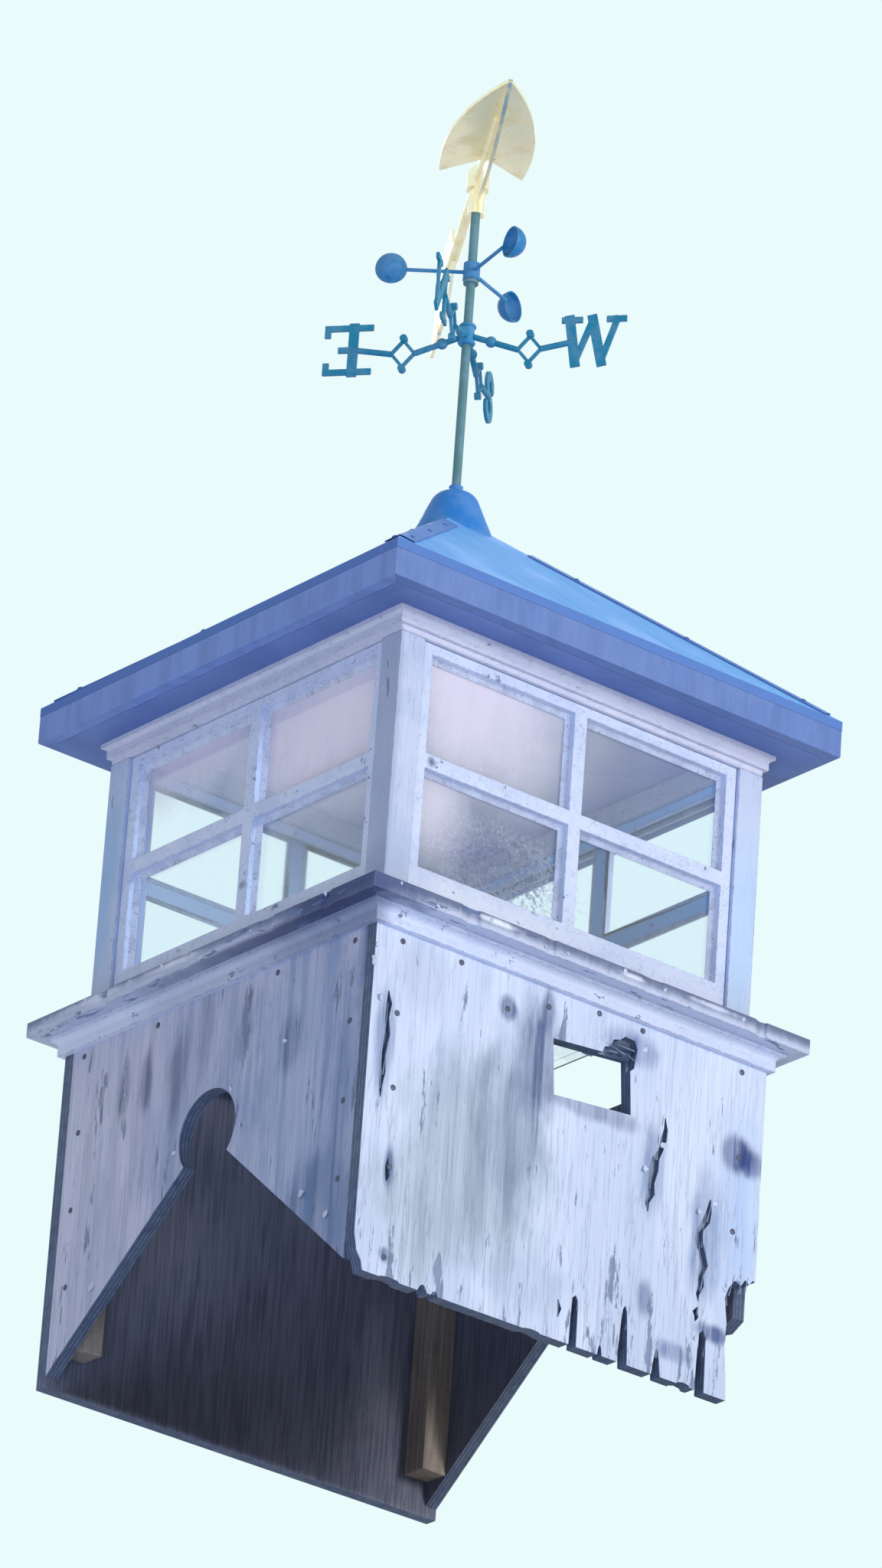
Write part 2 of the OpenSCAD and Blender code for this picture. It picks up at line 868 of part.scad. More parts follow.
// One compass arm with its ball, its open diamond and its letter
module compass_arm(name, turn) {
    mid = [diamond_x, -arm_drop];
    end = [letter_in, letter_rise - arm_drop];
    // How far the arm runs into each letter to reach its strokes
    into = letter_h * (name == "E" ? 0.36 : name == "S" ? 0.30 : 0.20);
    half_w = diamond_w / 2;
    half_h = diamond_h / 2;
    in_w = half_w - diamond_band;
    in_h = half_h - diamond_band * half_h / half_w;
    corner = [half_w - diamond_band / 2, 0];
    color(vane_blue)
        translate([0, 0, arms_z])
            rotate([0, 0, turn]) {
                difference() {
                    turned_bar([0, 0], mid - corner, knob_x / diamond_x, knob_d);
                    translate([0, 0, -knob_d]) cylinder(r = compass_hub_r, h = 2 * knob_d);
                }
                turned_bar(mid + corner, end + [into, 0], 0, arm_d);
                upright(letter_t)
                    translate(mid)
                        difference() {
                            polygon([[-half_w, 0], [0, -half_h], [half_w, 0], [0, half_h]]);
                            polygon([[-in_w, 0], [0, -in_h], [in_w, 0], [0, in_h]]);
                        }
                // The buttons on the diamond's upper and lower corners
                upright(2 * letter_t)
                    for (way = [-1, 1])
                        translate(mid + [0, way * half_h]) circle(diamond_band);
                upright(letter_t)
                    translate(end - [0, letter_h / 2]) letter(name);
            }
}

module compass_west() { compass_arm("W", compass_turn); }
module compass_south() { compass_arm("S", compass_turn + 90); }
module compass_east() { compass_arm("E", compass_turn + 180); }
module compass_north() { compass_arm("N", compass_turn + 270); }

// Cup rotor

module rotor_hub() {
    color(vane_blue)
        translate([0, 0, rotor_z - hub_h / 2])
            difference() {
                cylinder(r = bushing_r, h = hub_h);
                translate([0, 0, -over]) cylinder(r = rod_r + spin_gap, h = hub_h + 2 * over);
            }
}

// A hemispherical cup on the end of its arm
module cup(turn) {
    color(vane_blue)
        translate([0, 0, rotor_z])
            rotate([0, 0, turn]) {
                difference() {
                    translate([rod_r, 0, 0])
                        rotate([0, 90, 0]) cylinder(d = cup_arm_d, h = cup_orbit - rod_r);
                    translate([0, 0, -cup_arm_d]) cylinder(r = bushing_r, h = 2 * cup_arm_d);
                    translate([cup_orbit, 0, 0]) sphere(d = cup_d - 2 * cup_t);
                }
                translate([cup_orbit, 0, 0])
                    rotate([90, 0, 0])
                        rotate_extrude()
                            difference() {
                                intersection() {
                                    circle(d = cup_d);
                                    translate([0, -cup_d]) square([cup_d, cup_d]);
                                }
                                circle(d = cup_d - 2 * cup_t);
                            }
            }
}

module cup_1() { cup(rotor_turn); }
module cup_2() { cup(rotor_turn + 120); }
module cup_3() { cup(rotor_turn + 240); }

// Vane

// A turned socket, closed at its top by a ball, that drops over the rod
module vane_socket() {
    neck = rod_above + 2 * over;
    color(gilt)
        translate([0, 0, arrow_z])
            difference() {
                rotate_extrude() {
                    translate([0, -socket_below]) square([bushing_r, socket_below + neck]);
                    translate([0, neck])
                        intersection() {
                            circle(bushing_r);
                            square(bushing_r);
                        }
                }
                translate([0, 0, -socket_below - over])
                    cylinder(r = rod_r + spin_gap, h = socket_below + rod_above + 2 * over);
            }
}

// The arrow's head from above: two arcs that meet in a point, with swept barbs
module head_outline(w) {
    head_len = arrow_front - barb_x;
    flank_r = (head_len * head_len + w * w / 4) / w;
    back = barb_x - barb_sweep;
    difference() {
        intersection() {
            intersection_for(way = [-1, 1])
                translate([barb_x, way * (flank_r - w / 2)]) circle(flank_r, $fn = long_arc_fn);
            translate([back, -w / 2]) square([arrow_front - back, w]);
        }
        polygon([
            [back - over, w / 2], [barb_x - shaft_d, shaft_d * 0.4],
            [barb_x - shaft_d, -shaft_d * 0.4], [back - over, -w / 2]
        ]);
    }
}

// The tail feather from the side, notched behind and slotted above and below
module feather_outline() {
    front = feather_len - arrow_back;
    rake = feather_h * 0.35;
    difference() {
        polygon([
            [front, 0], [front - rake, feather_h / 2], [-arrow_back, feather_h / 2],
            [-arrow_back + rake, 0], [-arrow_back, -feather_h / 2],
            [front - rake, -feather_h / 2]
        ]);
        for (way = [-1, 1], k = [1 : 3])
            translate([front - rake - k * (feather_len - rake) / 4, way * feather_h / 2])
                rotate(way * 60)
                    translate([-feather_slot / 2, -feather_h / 3])
                        square([feather_slot, feather_h * 2 / 3]);
    }
}

module arrow() {
    shaft_back = arrow_back - feather_h * 0.35 - 2 * feather_slot;
    color(gilt)
        translate([0, 0, arrow_z])
            rotate([0, 0, arrow_turn])
                difference() {
                    union() {
                        // The eye that holds the arrow to its socket
                        translate([0, 0, -eye_h / 2])
                            cylinder(r = bushing_r + eye_wall, h = eye_h);
                        translate([-shaft_back, 0, 0])
                            rotate([0, 90, 0])
                                cylinder(d = shaft_d, h = shaft_back + (arrow_front + barb_x) / 2);
                        translate([0, 0, -blade_t / 2])
                            linear_extrude(blade_t) head_outline(arrow_w);
                        upright(blade_t) head_outline(arrow_h);
                        upright(blade_t) feather_outline();
                    }
                    translate([0, 0, -socket_below - over])
                        cylinder(r = bushing_r, h = 2 * socket_below);
                }
}

base_front();
base_back();
base_left();
base_right();
base_corner_cleats();
ledge_front();
ledge_back();
ledge_left();
ledge_right();
ledge_moulding();
post_front_left();
post_front_right();
post_back_left();
post_back_right();
top_plate();
sash_front();
sash_back();
sash_left();
sash_right();
glass_front();
glass_back();
glass_left();
glass_right();
crown_moulding();
roof_deck();
fascia_front();
fascia_back();
fascia_left();
fascia_right();
roof_front();
roof_back();
roof_left();
roof_right();
peak_cap();
vane_rod();
compass_hub();
compass_north();
compass_east();
compass_south();
compass_west();
rotor_hub();
cup_1();
cup_2();
cup_3();
vane_socket();
arrow();
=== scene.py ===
import math
import random

import bmesh
import bpy
from mathutils import Matrix, Vector


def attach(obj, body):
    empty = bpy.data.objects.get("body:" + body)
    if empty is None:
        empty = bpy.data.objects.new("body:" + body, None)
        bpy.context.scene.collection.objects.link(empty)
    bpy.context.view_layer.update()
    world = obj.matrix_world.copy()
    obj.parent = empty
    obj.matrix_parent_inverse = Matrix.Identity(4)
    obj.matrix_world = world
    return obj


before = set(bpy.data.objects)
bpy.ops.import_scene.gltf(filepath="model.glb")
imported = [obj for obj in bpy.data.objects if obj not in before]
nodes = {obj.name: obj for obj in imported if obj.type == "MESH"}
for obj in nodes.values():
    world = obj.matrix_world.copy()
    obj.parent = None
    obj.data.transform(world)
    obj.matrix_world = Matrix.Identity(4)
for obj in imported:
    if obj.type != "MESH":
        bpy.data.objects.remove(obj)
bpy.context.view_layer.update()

scene = bpy.context.scene
chance = random.Random(7)
mm = 0.001
skirtHalf = 313 * mm  # from the rod to the outside of a skirt panel
quarterTurns = (0, 90, 180, 270)


def setMode(mode):
    bpy.ops.object.mode_set(mode=mode)


def deselectAll():
    if bpy.context.mode != "OBJECT":
        setMode("OBJECT")
    bpy.ops.object.select_all(action="DESELECT")
    bpy.context.view_layer.objects.active = None


def activate(piece):
    deselectAll()
    piece.select_set(True)
    bpy.context.view_layer.objects.active = piece


def axesAt(x, y, z, centre):
    # A placement from its three directions and its centre
    return Matrix.Translation(centre) @ Matrix((x, y, z)).transposed().to_4x4()


deselectAll()

# Eye level well below the roof, looking up at the front and left sides
cameraSettings = {
    "place": (-6.541, -8.506, -4.047),
    "aim": (0.010, 0.0, 0.840),
    "roll": 4.1,  # the verticals lean to the right
    "lens": 213.0,
    "sensor": 36.0,
    "farthest": 200.0,
}


def placeCamera(place, aim, roll, lens, sensor, farthest):
    bpy.ops.object.camera_add()
    camera = bpy.context.active_object
    camera.name = "eyeCamera"
    place = Vector(place)
    forward = (Vector(aim) - place).normalized()
    upright = (Vector((0, 0, 1)) - forward * forward.z).normalized()
    across = forward.cross(upright)
    roll = math.radians(roll)
    right = across * math.cos(roll) + upright * math.sin(roll)
    up = upright * math.cos(roll) - across * math.sin(roll)
    camera.matrix_world = axesAt(right, up, -forward, place)
    camera.data.sensor_width = sensor
    camera.data.lens = lens
    camera.data.clip_end = farthest
    camera.data.dof.use_dof = False
    scene.camera = camera


placeCamera(**cameraSettings)
print("camera placed")


def toLinear(hexColour):
    # sRGB hex to the linear colour that the shaders work in
    channels = []
    for start in (1, 3, 5):
        share = int(hexColour[start:start + 2], 16) / 255
        channels.append(share / 12.92 if share <= 0.04045 else ((share + 0.055) / 1.055) ** 2.4)
    return (*channels, 1.0)


def addNode(tree, kind, settings=None, out=0):
    # One node with its settings and links: a socket is linked, and text for an
    # input is a hex colour. Gives back the output that is used next
    node = tree.nodes.new("ShaderNode" + kind)
    for name, value in (settings or {}).items():
        if isinstance(value, bpy.types.NodeSocket):
            tree.links.new(value, node.inputs[name])
        elif isinstance(name, str) and name not in node.inputs:
            setattr(node, name, value)
        else:
            node.inputs[name].default_value = toLinear(value) if isinstance(value, str) else value
    return node.outputs[out] if len(node.outputs) else node


def newFinish(name, surface, *choices):
    # A material with the surface that one of the functions below builds
    material = bpy.data.materials.new(name)
    material.use_nodes = True
    tree = material.node_tree
    tree.nodes.clear()
    addNode(tree, "OutputMaterial", {"Surface": surface(tree, *choices)})
    return material


def perMetre(sizeInMm):
    # A pattern's scale from the real size of one of its features
    return 1000.0 / sizeInMm


def ownPlace(tree, stretch=(1, 1, 1), shift=(0, 0, 0)):
    place = addNode(tree, "TexCoord", out="Object")
    return addNode(tree, "Mapping", {"Location": shift, "Scale": stretch, "Vector": place})


def blotches(tree, size, low, high, detail=5.0, rough=0.6, stretch=(1, 1, 1), bias=None):
    # Random patches of a size in mm, which set in between two levels of the noise
    cloud = addNode(tree, "TexNoise", {
        "Scale": perMetre(size), "Detail": detail, "Roughness": rough, "Vector": ownPlace(tree, stretch)})
    if bias is not None:
        cloud = addNode(tree, "Math", {"operation": "ADD", 0: cloud, 1: bias})
    return addNode(tree, "MapRange", {
        "interpolation_type": "SMOOTHSTEP", "From Min": low, "From Max": high, "Value": cloud})


def hairlines(tree, size, width, stretch=(1, 1, 1)):
    # Thin wavering lines where a noise passes its middle
    cloud = addNode(tree, "TexNoise", {
        "Scale": perMetre(size), "Detail": 3.0, "Roughness": 0.55, "Vector": ownPlace(tree, stretch)})
    offset = addNode(tree, "Math", {"operation": "SUBTRACT", 0: cloud, 1: 0.5})
    distance = addNode(tree, "Math", {"operation": "ABSOLUTE", 0: offset})
    return addNode(tree, "MapRange", {"From Max": width, "To Min": 1.0, "To Max": 0.0, "Value": distance})


def softSpot(tree, centre, reach, ragged=0.25, size=40.0, sharp=0.35):
    # A soft patch round a point; a reach of 0 leaves that axis out
    scale = [perMetre(r) if r else 0.0 for r in reach]
    shift = [-c * s * mm for c, s in zip(centre, scale)]
    distance = addNode(tree, "VectorMath", {"operation": "LENGTH", 0: ownPlace(tree, scale, shift)}, "Value")
    cloud = addNode(tree, "TexNoise", {
        "Scale": perMetre(size), "Detail": 4.0, "Roughness": 0.6, "Vector": ownPlace(tree, (1, 1, 0.4))})
    wobble = addNode(tree, "Math", {"operation": "MULTIPLY_ADD", 0: cloud, 1: ragged * 4, 2: -ragged * 2})
    total = addNode(tree, "Math", {"operation": "ADD", 0: distance, 1: wobble})
    return addNode(tree, "MapRange", {
        "interpolation_type": "SMOOTHSTEP", "From Min": sharp, "To Min": 1.0, "To Max": 0.0, "Value": total})


def layers(tree, colour, coats):
    # Coats of colour, each over the last one where its mask says
    for mask, over, strength in coats:
        share = addNode(tree, "Math", {"operation": "MULTIPLY", 0: mask, 1: strength})
        colour = addNode(tree, "Mix", {
            "data_type": "RGBA", "clamp_factor": True, 0: share, 6: colour, 7: over}, 2)
    return colour


def facing(tree, way):
    # How squarely a face looks one way: 1 towards it, -1 away from it
    normal = addNode(tree, "NewGeometry", out="True Normal")
    return addNode(tree, "VectorMath", {"operation": "DOT_PRODUCT", 0: normal, 1: way}, "Value")


def fromRod(tree):
    # The larger of the two distances sideways from the rod
    sideways = addNode(tree, "VectorMath", {"operation": "ABSOLUTE", 0: ownPlace(tree)})
    parts = addNode(tree, "SeparateXYZ", {0: sideways}).node.outputs
    return addNode(tree, "Math", {"operation": "MAXIMUM", 0: parts["X"], 1: parts["Y"]})


def seenByEye(tree, rays):
    # 1 for what the eye meets, also in a mirror or through glass
    seen = addNode(tree, "Math", {
        "operation": "MAXIMUM", 0: rays["Is Camera Ray"], 1: rays["Is Glossy Ray"]})
    return addNode(tree, "Math", {"operation": "MAXIMUM", 0: seen, 1: rays["Is Transmission Ray"]})


def edgeWear(tree, radius):
    # 1 along outer edges, 0 on the flats
    rounded = addNode(tree, "Bevel", {"samples": 4, "Radius": radius * mm})
    flat = addNode(tree, "NewGeometry", out="Normal")
    match = addNode(tree, "VectorMath", {"operation": "DOT_PRODUCT", 0: rounded, 1: flat}, "Value")
    return addNode(tree, "MapRange", {"From Min": 0.995, "From Max": 0.90, "Value": match})


def paintRelief(tree, gone, marks, lines, film, raised):
    # The paint film stands above the bare wood, with marks raised and fine lines cut in
    # it; film and raised are each a strength and a height in mm
    step = addNode(tree, "Math", {"operation": "MULTIPLY", 0: gone, 1: -1.0})
    step = addNode(tree, "Bump", {"Strength": film[0], "Distance": film[1] * mm, "Height": step})
    marks = addNode(tree, "Math", {"operation": "SUBTRACT", 0: marks, 1: lines})
    return addNode(tree, "Bump", {
        "Strength": raised[0], "Distance": raised[1] * mm, "Height": marks, "Normal": step})


# Softwood plywood with several coats of white oil paint, long weathered: the
# paint is chalky and checked along the grain, the wood under it is silver grey
plywoodLook = {
    "paint": "#D8E2F8",
    "thinPaint": "#BAC7E0",
    "bareWood": "#8492B0",
    "darkWood": "#596A8D",
    "dirt": "#7B8AA5",
    "veneerLight": "#6B7893",
    "veneerDark": "#414E6B",
    "crackFloor": "#A3B0C8",
    "insideWood": "#747689",
    "insideDark": "#494E63",
    "fibre": 4.0,  # widths of these in mm
    "streak": 16.0,
    "flake": 24.0,
    "check": 9.0,
    "veneer": 2.6,
    "roughness": 0.68,
}


def paintedPlywood(tree, look, outward, zones, lossBias=0.0, tone=None, tornZones=()):
    # zones: centre in mm, reach in mm, colour, strength; a later one lies over the others
    along = (1, 1, 0.045)
    broad = (1, 1, 0.16)
    fibres = blotches(tree, look["fibre"], 0.35, 0.70, 4.0, stretch=along)
    streaks = blotches(tree, look["streak"], 0.42, 0.66, stretch=along)
    checks = hairlines(tree, look["check"], 0.016, along)
    whole = ownPlace(tree)
    height = addNode(tree, "SeparateXYZ", {0: whole}, "Z")
    lowPart = addNode(tree, "MapRange", {
        "From Min": 0.16, "From Max": 0.0, "To Min": lossBias, "To Max": lossBias + 0.085, "Value": height})
    loss = blotches(tree, look["flake"], 0.615, 0.65, 8.0, 0.68, broad, lowPart)
    thin = blotches(tree, 60.0, 0.45, 0.72, 5.0, 0.6, broad, lowPart)
    clouds = blotches(tree, 120.0, 0.40, 0.65, 3.0, stretch=(1, 1, 0.5))
    coats = [
        (mask, look["thinPaint"], share) for mask, share in ((clouds, 0.35), (thin, 0.55), (fibres, 0.35))]
    if tone:
        coats.append((streaks, tone, 0.5))
    grained = addNode(tree, "MapRange", {"To Min": 0.55, "Value": streaks})
    for centre, reach, zoneColour, strength in zones:
        worn = addNode(tree, "Math", {"operation": "MULTIPLY", 0: softSpot(tree, centre, reach), 1: grained})
        coats.append((worn, zoneColour, strength))
    wood = layers(tree, look["bareWood"], [(fibres, look["darkWood"], 0.7)])
    lowChecks = addNode(tree, "MapRange", {
        "From Min": 0.45, "From Max": 0.05, "To Min": 0.18, "To Max": 0.6, "Value": height})
    checked = addNode(tree, "Math", {"operation": "MULTIPLY", 0: checks, 1: lowChecks})
    coats += [(checked, look["dirt"], 0.8), (loss, wood, 0.92)]
    face = layers(tree, look["paint"], coats)

    # Cut edges show the veneers, and the inner side is unpainted
    depth = addNode(tree, "VectorMath", {"operation": "DOT_PRODUCT", 0: whole, 1: outward}, "Value")
    pairs = perMetre(look["veneer"]) / 2  # a pale and a dark veneer
    depth = addNode(tree, "Math", {"operation": "MULTIPLY_ADD", 0: depth, 1: -pairs, 2: skirtHalf * pairs})
    ply = addNode(tree, "Math", {"operation": "FRACT", 0: depth})
    ply = addNode(tree, "Math", {"operation": "GREATER_THAN", 0: ply, 1: 0.5})
    rot = blotches(tree, 14.0, 0.35, 0.65, 6.0)
    sides = layers(tree, look["veneerLight"], [
        (ply, look["veneerDark"], 0.75), (rot, look["veneerDark"], 0.6)])
    inner = layers(tree, look["insideWood"], [(fibres, look["insideDark"], 0.8)])
    crackFloor = layers(tree, look["crackFloor"], [(fibres, look["darkWood"], 0.55)] + [
        (softSpot(tree, centre, reach), colour, strength) for centre, reach, colour, strength in tornZones])
    outwards = facing(tree, outward)
    isFace = addNode(tree, "Math", {"operation": "GREATER_THAN", 0: outwards, 1: 0.8})
    isBack = addNode(tree, "Math", {"operation": "LESS_THAN", 0: outwards, 1: -0.8})
    # Inside the cracks the outer veneers are gone
    sunk = addNode(tree, "Math", {"operation": "GREATER_THAN", 0: depth, 1: 0.35})
    colour = layers(tree, face, [(sunk, crackFloor, 1.0)])
    colour = layers(tree, sides, [(isFace, colour, 1.0), (isBack, inner, 1.0)])
    rough = addNode(tree, "MapRange", {
        "To Min": look["roughness"] - 0.1, "To Max": look["roughness"] + 0.2, "Value": clouds})
    return addNode(tree, "BsdfPrincipled", {
        "IOR": 1.5, "Specular IOR Level": 0.35, "Base Color": colour, "Roughness": rough,
        "Normal": paintRelief(tree, loss, fibres, checks, (0.8, 0.6), (0.6, 0.5))})


# The front is sunlit and pale, with a grey stain below and left of the opening
frontZones = [
    ((-140, 0, 190), (150, 0, 190), "#93A3B2", 0.85),
    ((-220, 0, 100), (90, 0, 130), "#98AAB4", 0.75),
    ((-235, 0, 400), (60, 0, 80), "#B8C2DA", 0.75),
    ((-85, 0, 250), (70, 0, 150), "#76869F", 0.85),
    ((-50, 0, 345), (52, 0, 105), "#4F6288", 1.00),
    # A dark band under the opening's lower edge: painted shadow
    ((36, 0, 312), (104, 0, 20), "#76809E", 0.90),
    ((278, 0, 250), (60, 0, 170), "#AEC6EE", 0.70),
    ((250, 0, 210), (20, 0, 60), "#8FA4CC", 0.70),
    # These two darken the sides of the cracks: painted shade
    ((228, 0, 200), (34, 0, 110), "#6C82AC", 0.85),
    ((140, 0, 268), (28, 0, 90), "#768AB2", 0.85),
    ((-288, 0, 300), (20, 0, 90), "#6C80AA", 0.85),
    ((95, 0, 412), (56, 0, 30), "#6A7CAA", 0.85),
    ((-60, 0, 60), (120, 0, 50), "#A9B8D0", 0.60),
    ((-102, 0, 402), (18, 0, 21), "#3A4C80", 1.00),
    ((-39, 0, 422), (14, 0, 38), "#2C4078", 1.00),
    ((274, 0, 326), (37, 0, 32), "#22366F", 1.00),
    ((300, 0, 318), (26, 0, 24), "#2C4080", 1.00),
    ((137, 0, 94), (17, 0, 32), "#465A88", 1.00),
    ((190, 0, 38), (38, 0, 20), "#6479A6", 0.95),
    ((-265, 0, 30), (14, 0, 14), "#52668E", 0.95),
    ((-268, 0, 145), (11, 0, 44), "#4A5F88", 0.95),
    ((245, 0, 80), (40, 0, 16), "#4C608F", 0.95),
]
tornZones = [((88, 0, 404), (46, 0, 26), "#3F4D69", 1.0)]
# The left side is painted darker and bluer than the others: painted shade, with its own streaks and stains
shadedLeftLook = dict(plywoodLook, paint="#CFCFE6", thinPaint="#ABB2CE", bareWood="#838CAA", darkWood="#525B78")
leftZones = [
    # The two broad zones darken the whole side further: painted shade
    ((0, 20, 260), (0, 150, 330), "#929EC2", 0.80),
    ((0, -190, 260), (0, 190, 330), "#8299C2", 0.85),
    ((0, -290, 160), (0, 90, 300), "#6A82AC", 0.85),
    ((0, -240, 90), (0, 110, 110), "#566E98", 0.85),
    ((0, -155, 335), (0, 26, 60), "#485B84", 0.70),
    ((0, 180, 370), (0, 14, 50), "#5F6482", 0.85),
    ((0, 135, 365), (0, 16, 60), "#5B6184", 0.80),
    ((0, 70, 350), (0, 30, 90), "#666D8C", 0.75),
    ((0, 20, 400), (0, 24, 90), "#626D8E", 0.70),
    ((0, -60, 370), (0, 20, 60), "#66769A", 0.60),
    ((0, -300, 420), (0, 30, 120), "#40578F", 0.80),
    ((0, 0, 470), (0, 320, 16), "#5C698F", 0.70),
]
otherZones = [
    ((0, 0, 120), (220, 220, 120), "#A3ADC0", 0.55),
    ((120, 90, 330), (70, 70, 110), "#98A4BB", 0.50),
    ((-170, -140, 300), (50, 60, 120), "#8F9BB4", 0.50),
]
plywoodFront = newFinish(
    "chalkyWhitePlywoodFront", paintedPlywood, plywoodLook, (0, -1, 0), frontZones, -0.01, None, tornZones)
plywoodLeftShaded = newFinish(
    "greyedShadedPlywoodLeft", paintedPlywood, shadedLeftLook, (-1, 0, 0), leftZones, 0.01, "#A7ABC2")
plywoodBack = newFinish("chalkyWhitePlywoodBack", paintedPlywood, plywoodLook, (0, 1, 0), otherZones, 0.01)
plywoodRight = newFinish("chalkyWhitePlywoodRight", paintedPlywood, plywoodLook, (1, 0, 0), otherZones, 0.02)

# Pine boards and sashes in old white gloss paint: brush marks, fine crazing with grime in it, worn to grey
# wood on the edges
trimLook = {
    "paint": "#D3DCF6",
    "thinPaint": "#B7C5E6",
    "bareWood": "#7F8CA9",
    "darkWood": "#586686",
    "dirt": "#8592AF",
    "roughness": 0.5,
    "brush": 2.5,  # sizes of these in mm
    "flake": 14.0,
    "wearRadius": 2.2,
}


def oldGlossPaint(tree, look, stretch, wear=0.06, zones=(), inner=None):
    brush = blotches(tree, look["brush"], 0.30, 0.72, 3.0, stretch=stretch)
    grain = blotches(tree, 7.0, 0.38, 0.66, stretch=stretch)
    crazing = hairlines(tree, 12.0, 0.012, stretch)
    halfStretch = tuple(math.sqrt(s) for s in stretch)
    loss = blotches(tree, look["flake"], 0.665 - wear, 0.69 - wear, 8.0, 0.66, halfStretch)
    clouds = blotches(tree, 70.0, 0.40, 0.66, 4.0)
    broken = blotches(tree, 9.0, 0.46, 0.58)
    edges = addNode(tree, "Math", {"operation": "MULTIPLY", 0: edgeWear(tree, look["wearRadius"]), 1: broken})
    wood = layers(tree, look["bareWood"], [(grain, look["darkWood"], 0.75)])
    coats = [
        (clouds, look["thinPaint"], 0.50), (brush, look["thinPaint"], 0.22), (crazing, look["dirt"], 0.45)]
    for centre, reach, zoneColour, strength in zones:
        spot = softSpot(tree, centre, reach, 0.25, max(12.0, 0.3 * max(reach)), 0.15)
        coats.append((spot, zoneColour, strength))
    if inner:
        # inner: the way out of the lantern and the colour of the faces that look in, a paler blue: painted
        # sky light inside the lantern
        skyLitFacesIn = addNode(tree, "Math", {"operation": "LESS_THAN", 0: facing(tree, inner[0]), 1: -0.5})
        coats.append((skyLitFacesIn, inner[1], 0.95))
    coats += [(edges, wood, 0.75), (loss, wood, 0.9)]
    gone = addNode(tree, "Math", {"operation": "MAXIMUM", 0: loss, 1: edges})
    rough = addNode(tree, "MapRange", {
        "To Min": look["roughness"], "To Max": look["roughness"] + 0.35, "Value": gone})
    return addNode(tree, "BsdfPrincipled", {
        "IOR": 1.5, "Base Color": layers(tree, look["paint"], coats), "Roughness": rough,
        "Normal": paintRelief(tree, gone, brush, crazing, (0.7, 0.5), (0.4, 0.25))})


uprightLook = dict(trimLook, paint="#C6CFE8", thinPaint="#AAB7D8")
uprightTrim = newFinish("whiteGlossPaintUpright", oldGlossPaint, uprightLook, (1, 1, 0.06), 0.02, [
    ((-285, -295, 560), (60, 60, 80), "#A2B0D4", 0.60),
    ((276, -295, 640), (40, 40, 260), "#B2D2F8", 0.65),
    ((-290, 285, 670), (40, 50, 260), "#86AEDC", 0.70),
    # A darker strip on the left face of the near left post: painted shade
    ((-295, -278, 700), (10, 60, 400), "#8F99BC", 0.55),
])
sashBrushed = (0.5, 0.5, 0.5)  # the bars run both ways
sashPaint = newFinish("whiteSashPaint", oldGlossPaint, trimLook, sashBrushed, 0.02, [
    ((-231, -285, 697), (11, 14, 11), "#3F4C6C", 1.0),
    ((-285, 0, 600), (14, 10, 10), "#4D5A78", 0.9),
    ((-120, -285, 528), (200, 14, 32), "#E8EEFE", 0.80),
])
# The faces of the right and back sashes that look into the lantern are painted pale blue: painted sky light
sashRightSkyLit = newFinish(
    "whiteSashPaintRightSkyLit", oldGlossPaint, trimLook, sashBrushed, 0.02, (), ((1, 0, 0), "#A6D2FF"))
sashBackSkyLit = newFinish(
    "whiteSashPaintBackSkyLit", oldGlossPaint, trimLook, sashBrushed, 0.02, (), ((0, 1, 0), "#C8DEFF"))
mouldingPaint = newFinish("whiteMouldingPaint", oldGlossPaint, trimLook, (0.3, 0.3, 1), 0.03, [
    ((-330, 20, 462), (34, 420, 60), "#B4BAD0", 0.80),
    ((-330, 290, 456), (40, 260, 40), "#DADFF0", 0.80),
    ((40, -330, 462), (380, 34, 60), "#CAD0E2", 0.75),
    ((-330, -300, 462), (50, 300, 60), "#33487E", 0.62),
])
# Under the eaves the paint has stayed cleaner
shelteredLook = dict(trimLook, paint="#D4D5E6", thinPaint="#BDC1DC", wearRadius=1.2)
crownPaint = newFinish("whiteCrownPaint", oldGlossPaint, shelteredLook, (0.3, 0.3, 1), 0.0)

# The ledge has shed most of its paint: grey wood with white remnants, nearly black towards the near corner
ledgeLook = dict(trimLook, paint="#ACB8DA", thinPaint="#8B99C2", bareWood="#768AB4", darkWood="#485A84")
ledgeFrontLook = dict(ledgeLook, paint="#A6AFCC", thinPaint="#8793B4")
ledgeAlongX = newFinish("flakedLedgePaintAlongX", oldGlossPaint, ledgeFrontLook, (0.06, 1, 1), 0.07, [
    ((0, 0, 476), (0, 0, 12), "#C8D0E8", 0.70),
    ((0, 0, 495), (0, 0, 19), "#545E82", 0.95),
    ((-345, -350, 484), (120, 60, 50), "#2A3E74", 1.00),
    ((-160, -351, 488), (46, 10, 6), "#E8ECFA", 0.95),
    ((60, -351, 486), (30, 10, 5), "#DFE4F5", 0.90),
    ((190, -351, 488), (60, 10, 5), "#D5DBF0", 0.85),
])
ledgeAlongY = newFinish("flakedLedgePaintAlongY", oldGlossPaint, ledgeLook, (1, 0.06, 1), 0.08, [
    ((0, 0, 476), (0, 0, 12), "#C4C8DC", 0.60),
    ((0, 0, 495), (0, 0, 16), "#5E688C", 0.85),
    ((-345, -300, 484), (70, 260, 60), "#1C3068", 1.00),
    # Darker along the lower edge and underside: painted shade under the ledge
    ((-335, -200, 473), (50, 420, 9), "#3F466E", 0.85),
    ((-351, 50, 488), (10, 80, 8), "#DDE2F3", 0.90),
    ((-351, 210, 487), (10, 110, 9), "#D6DBEE", 0.85),
])

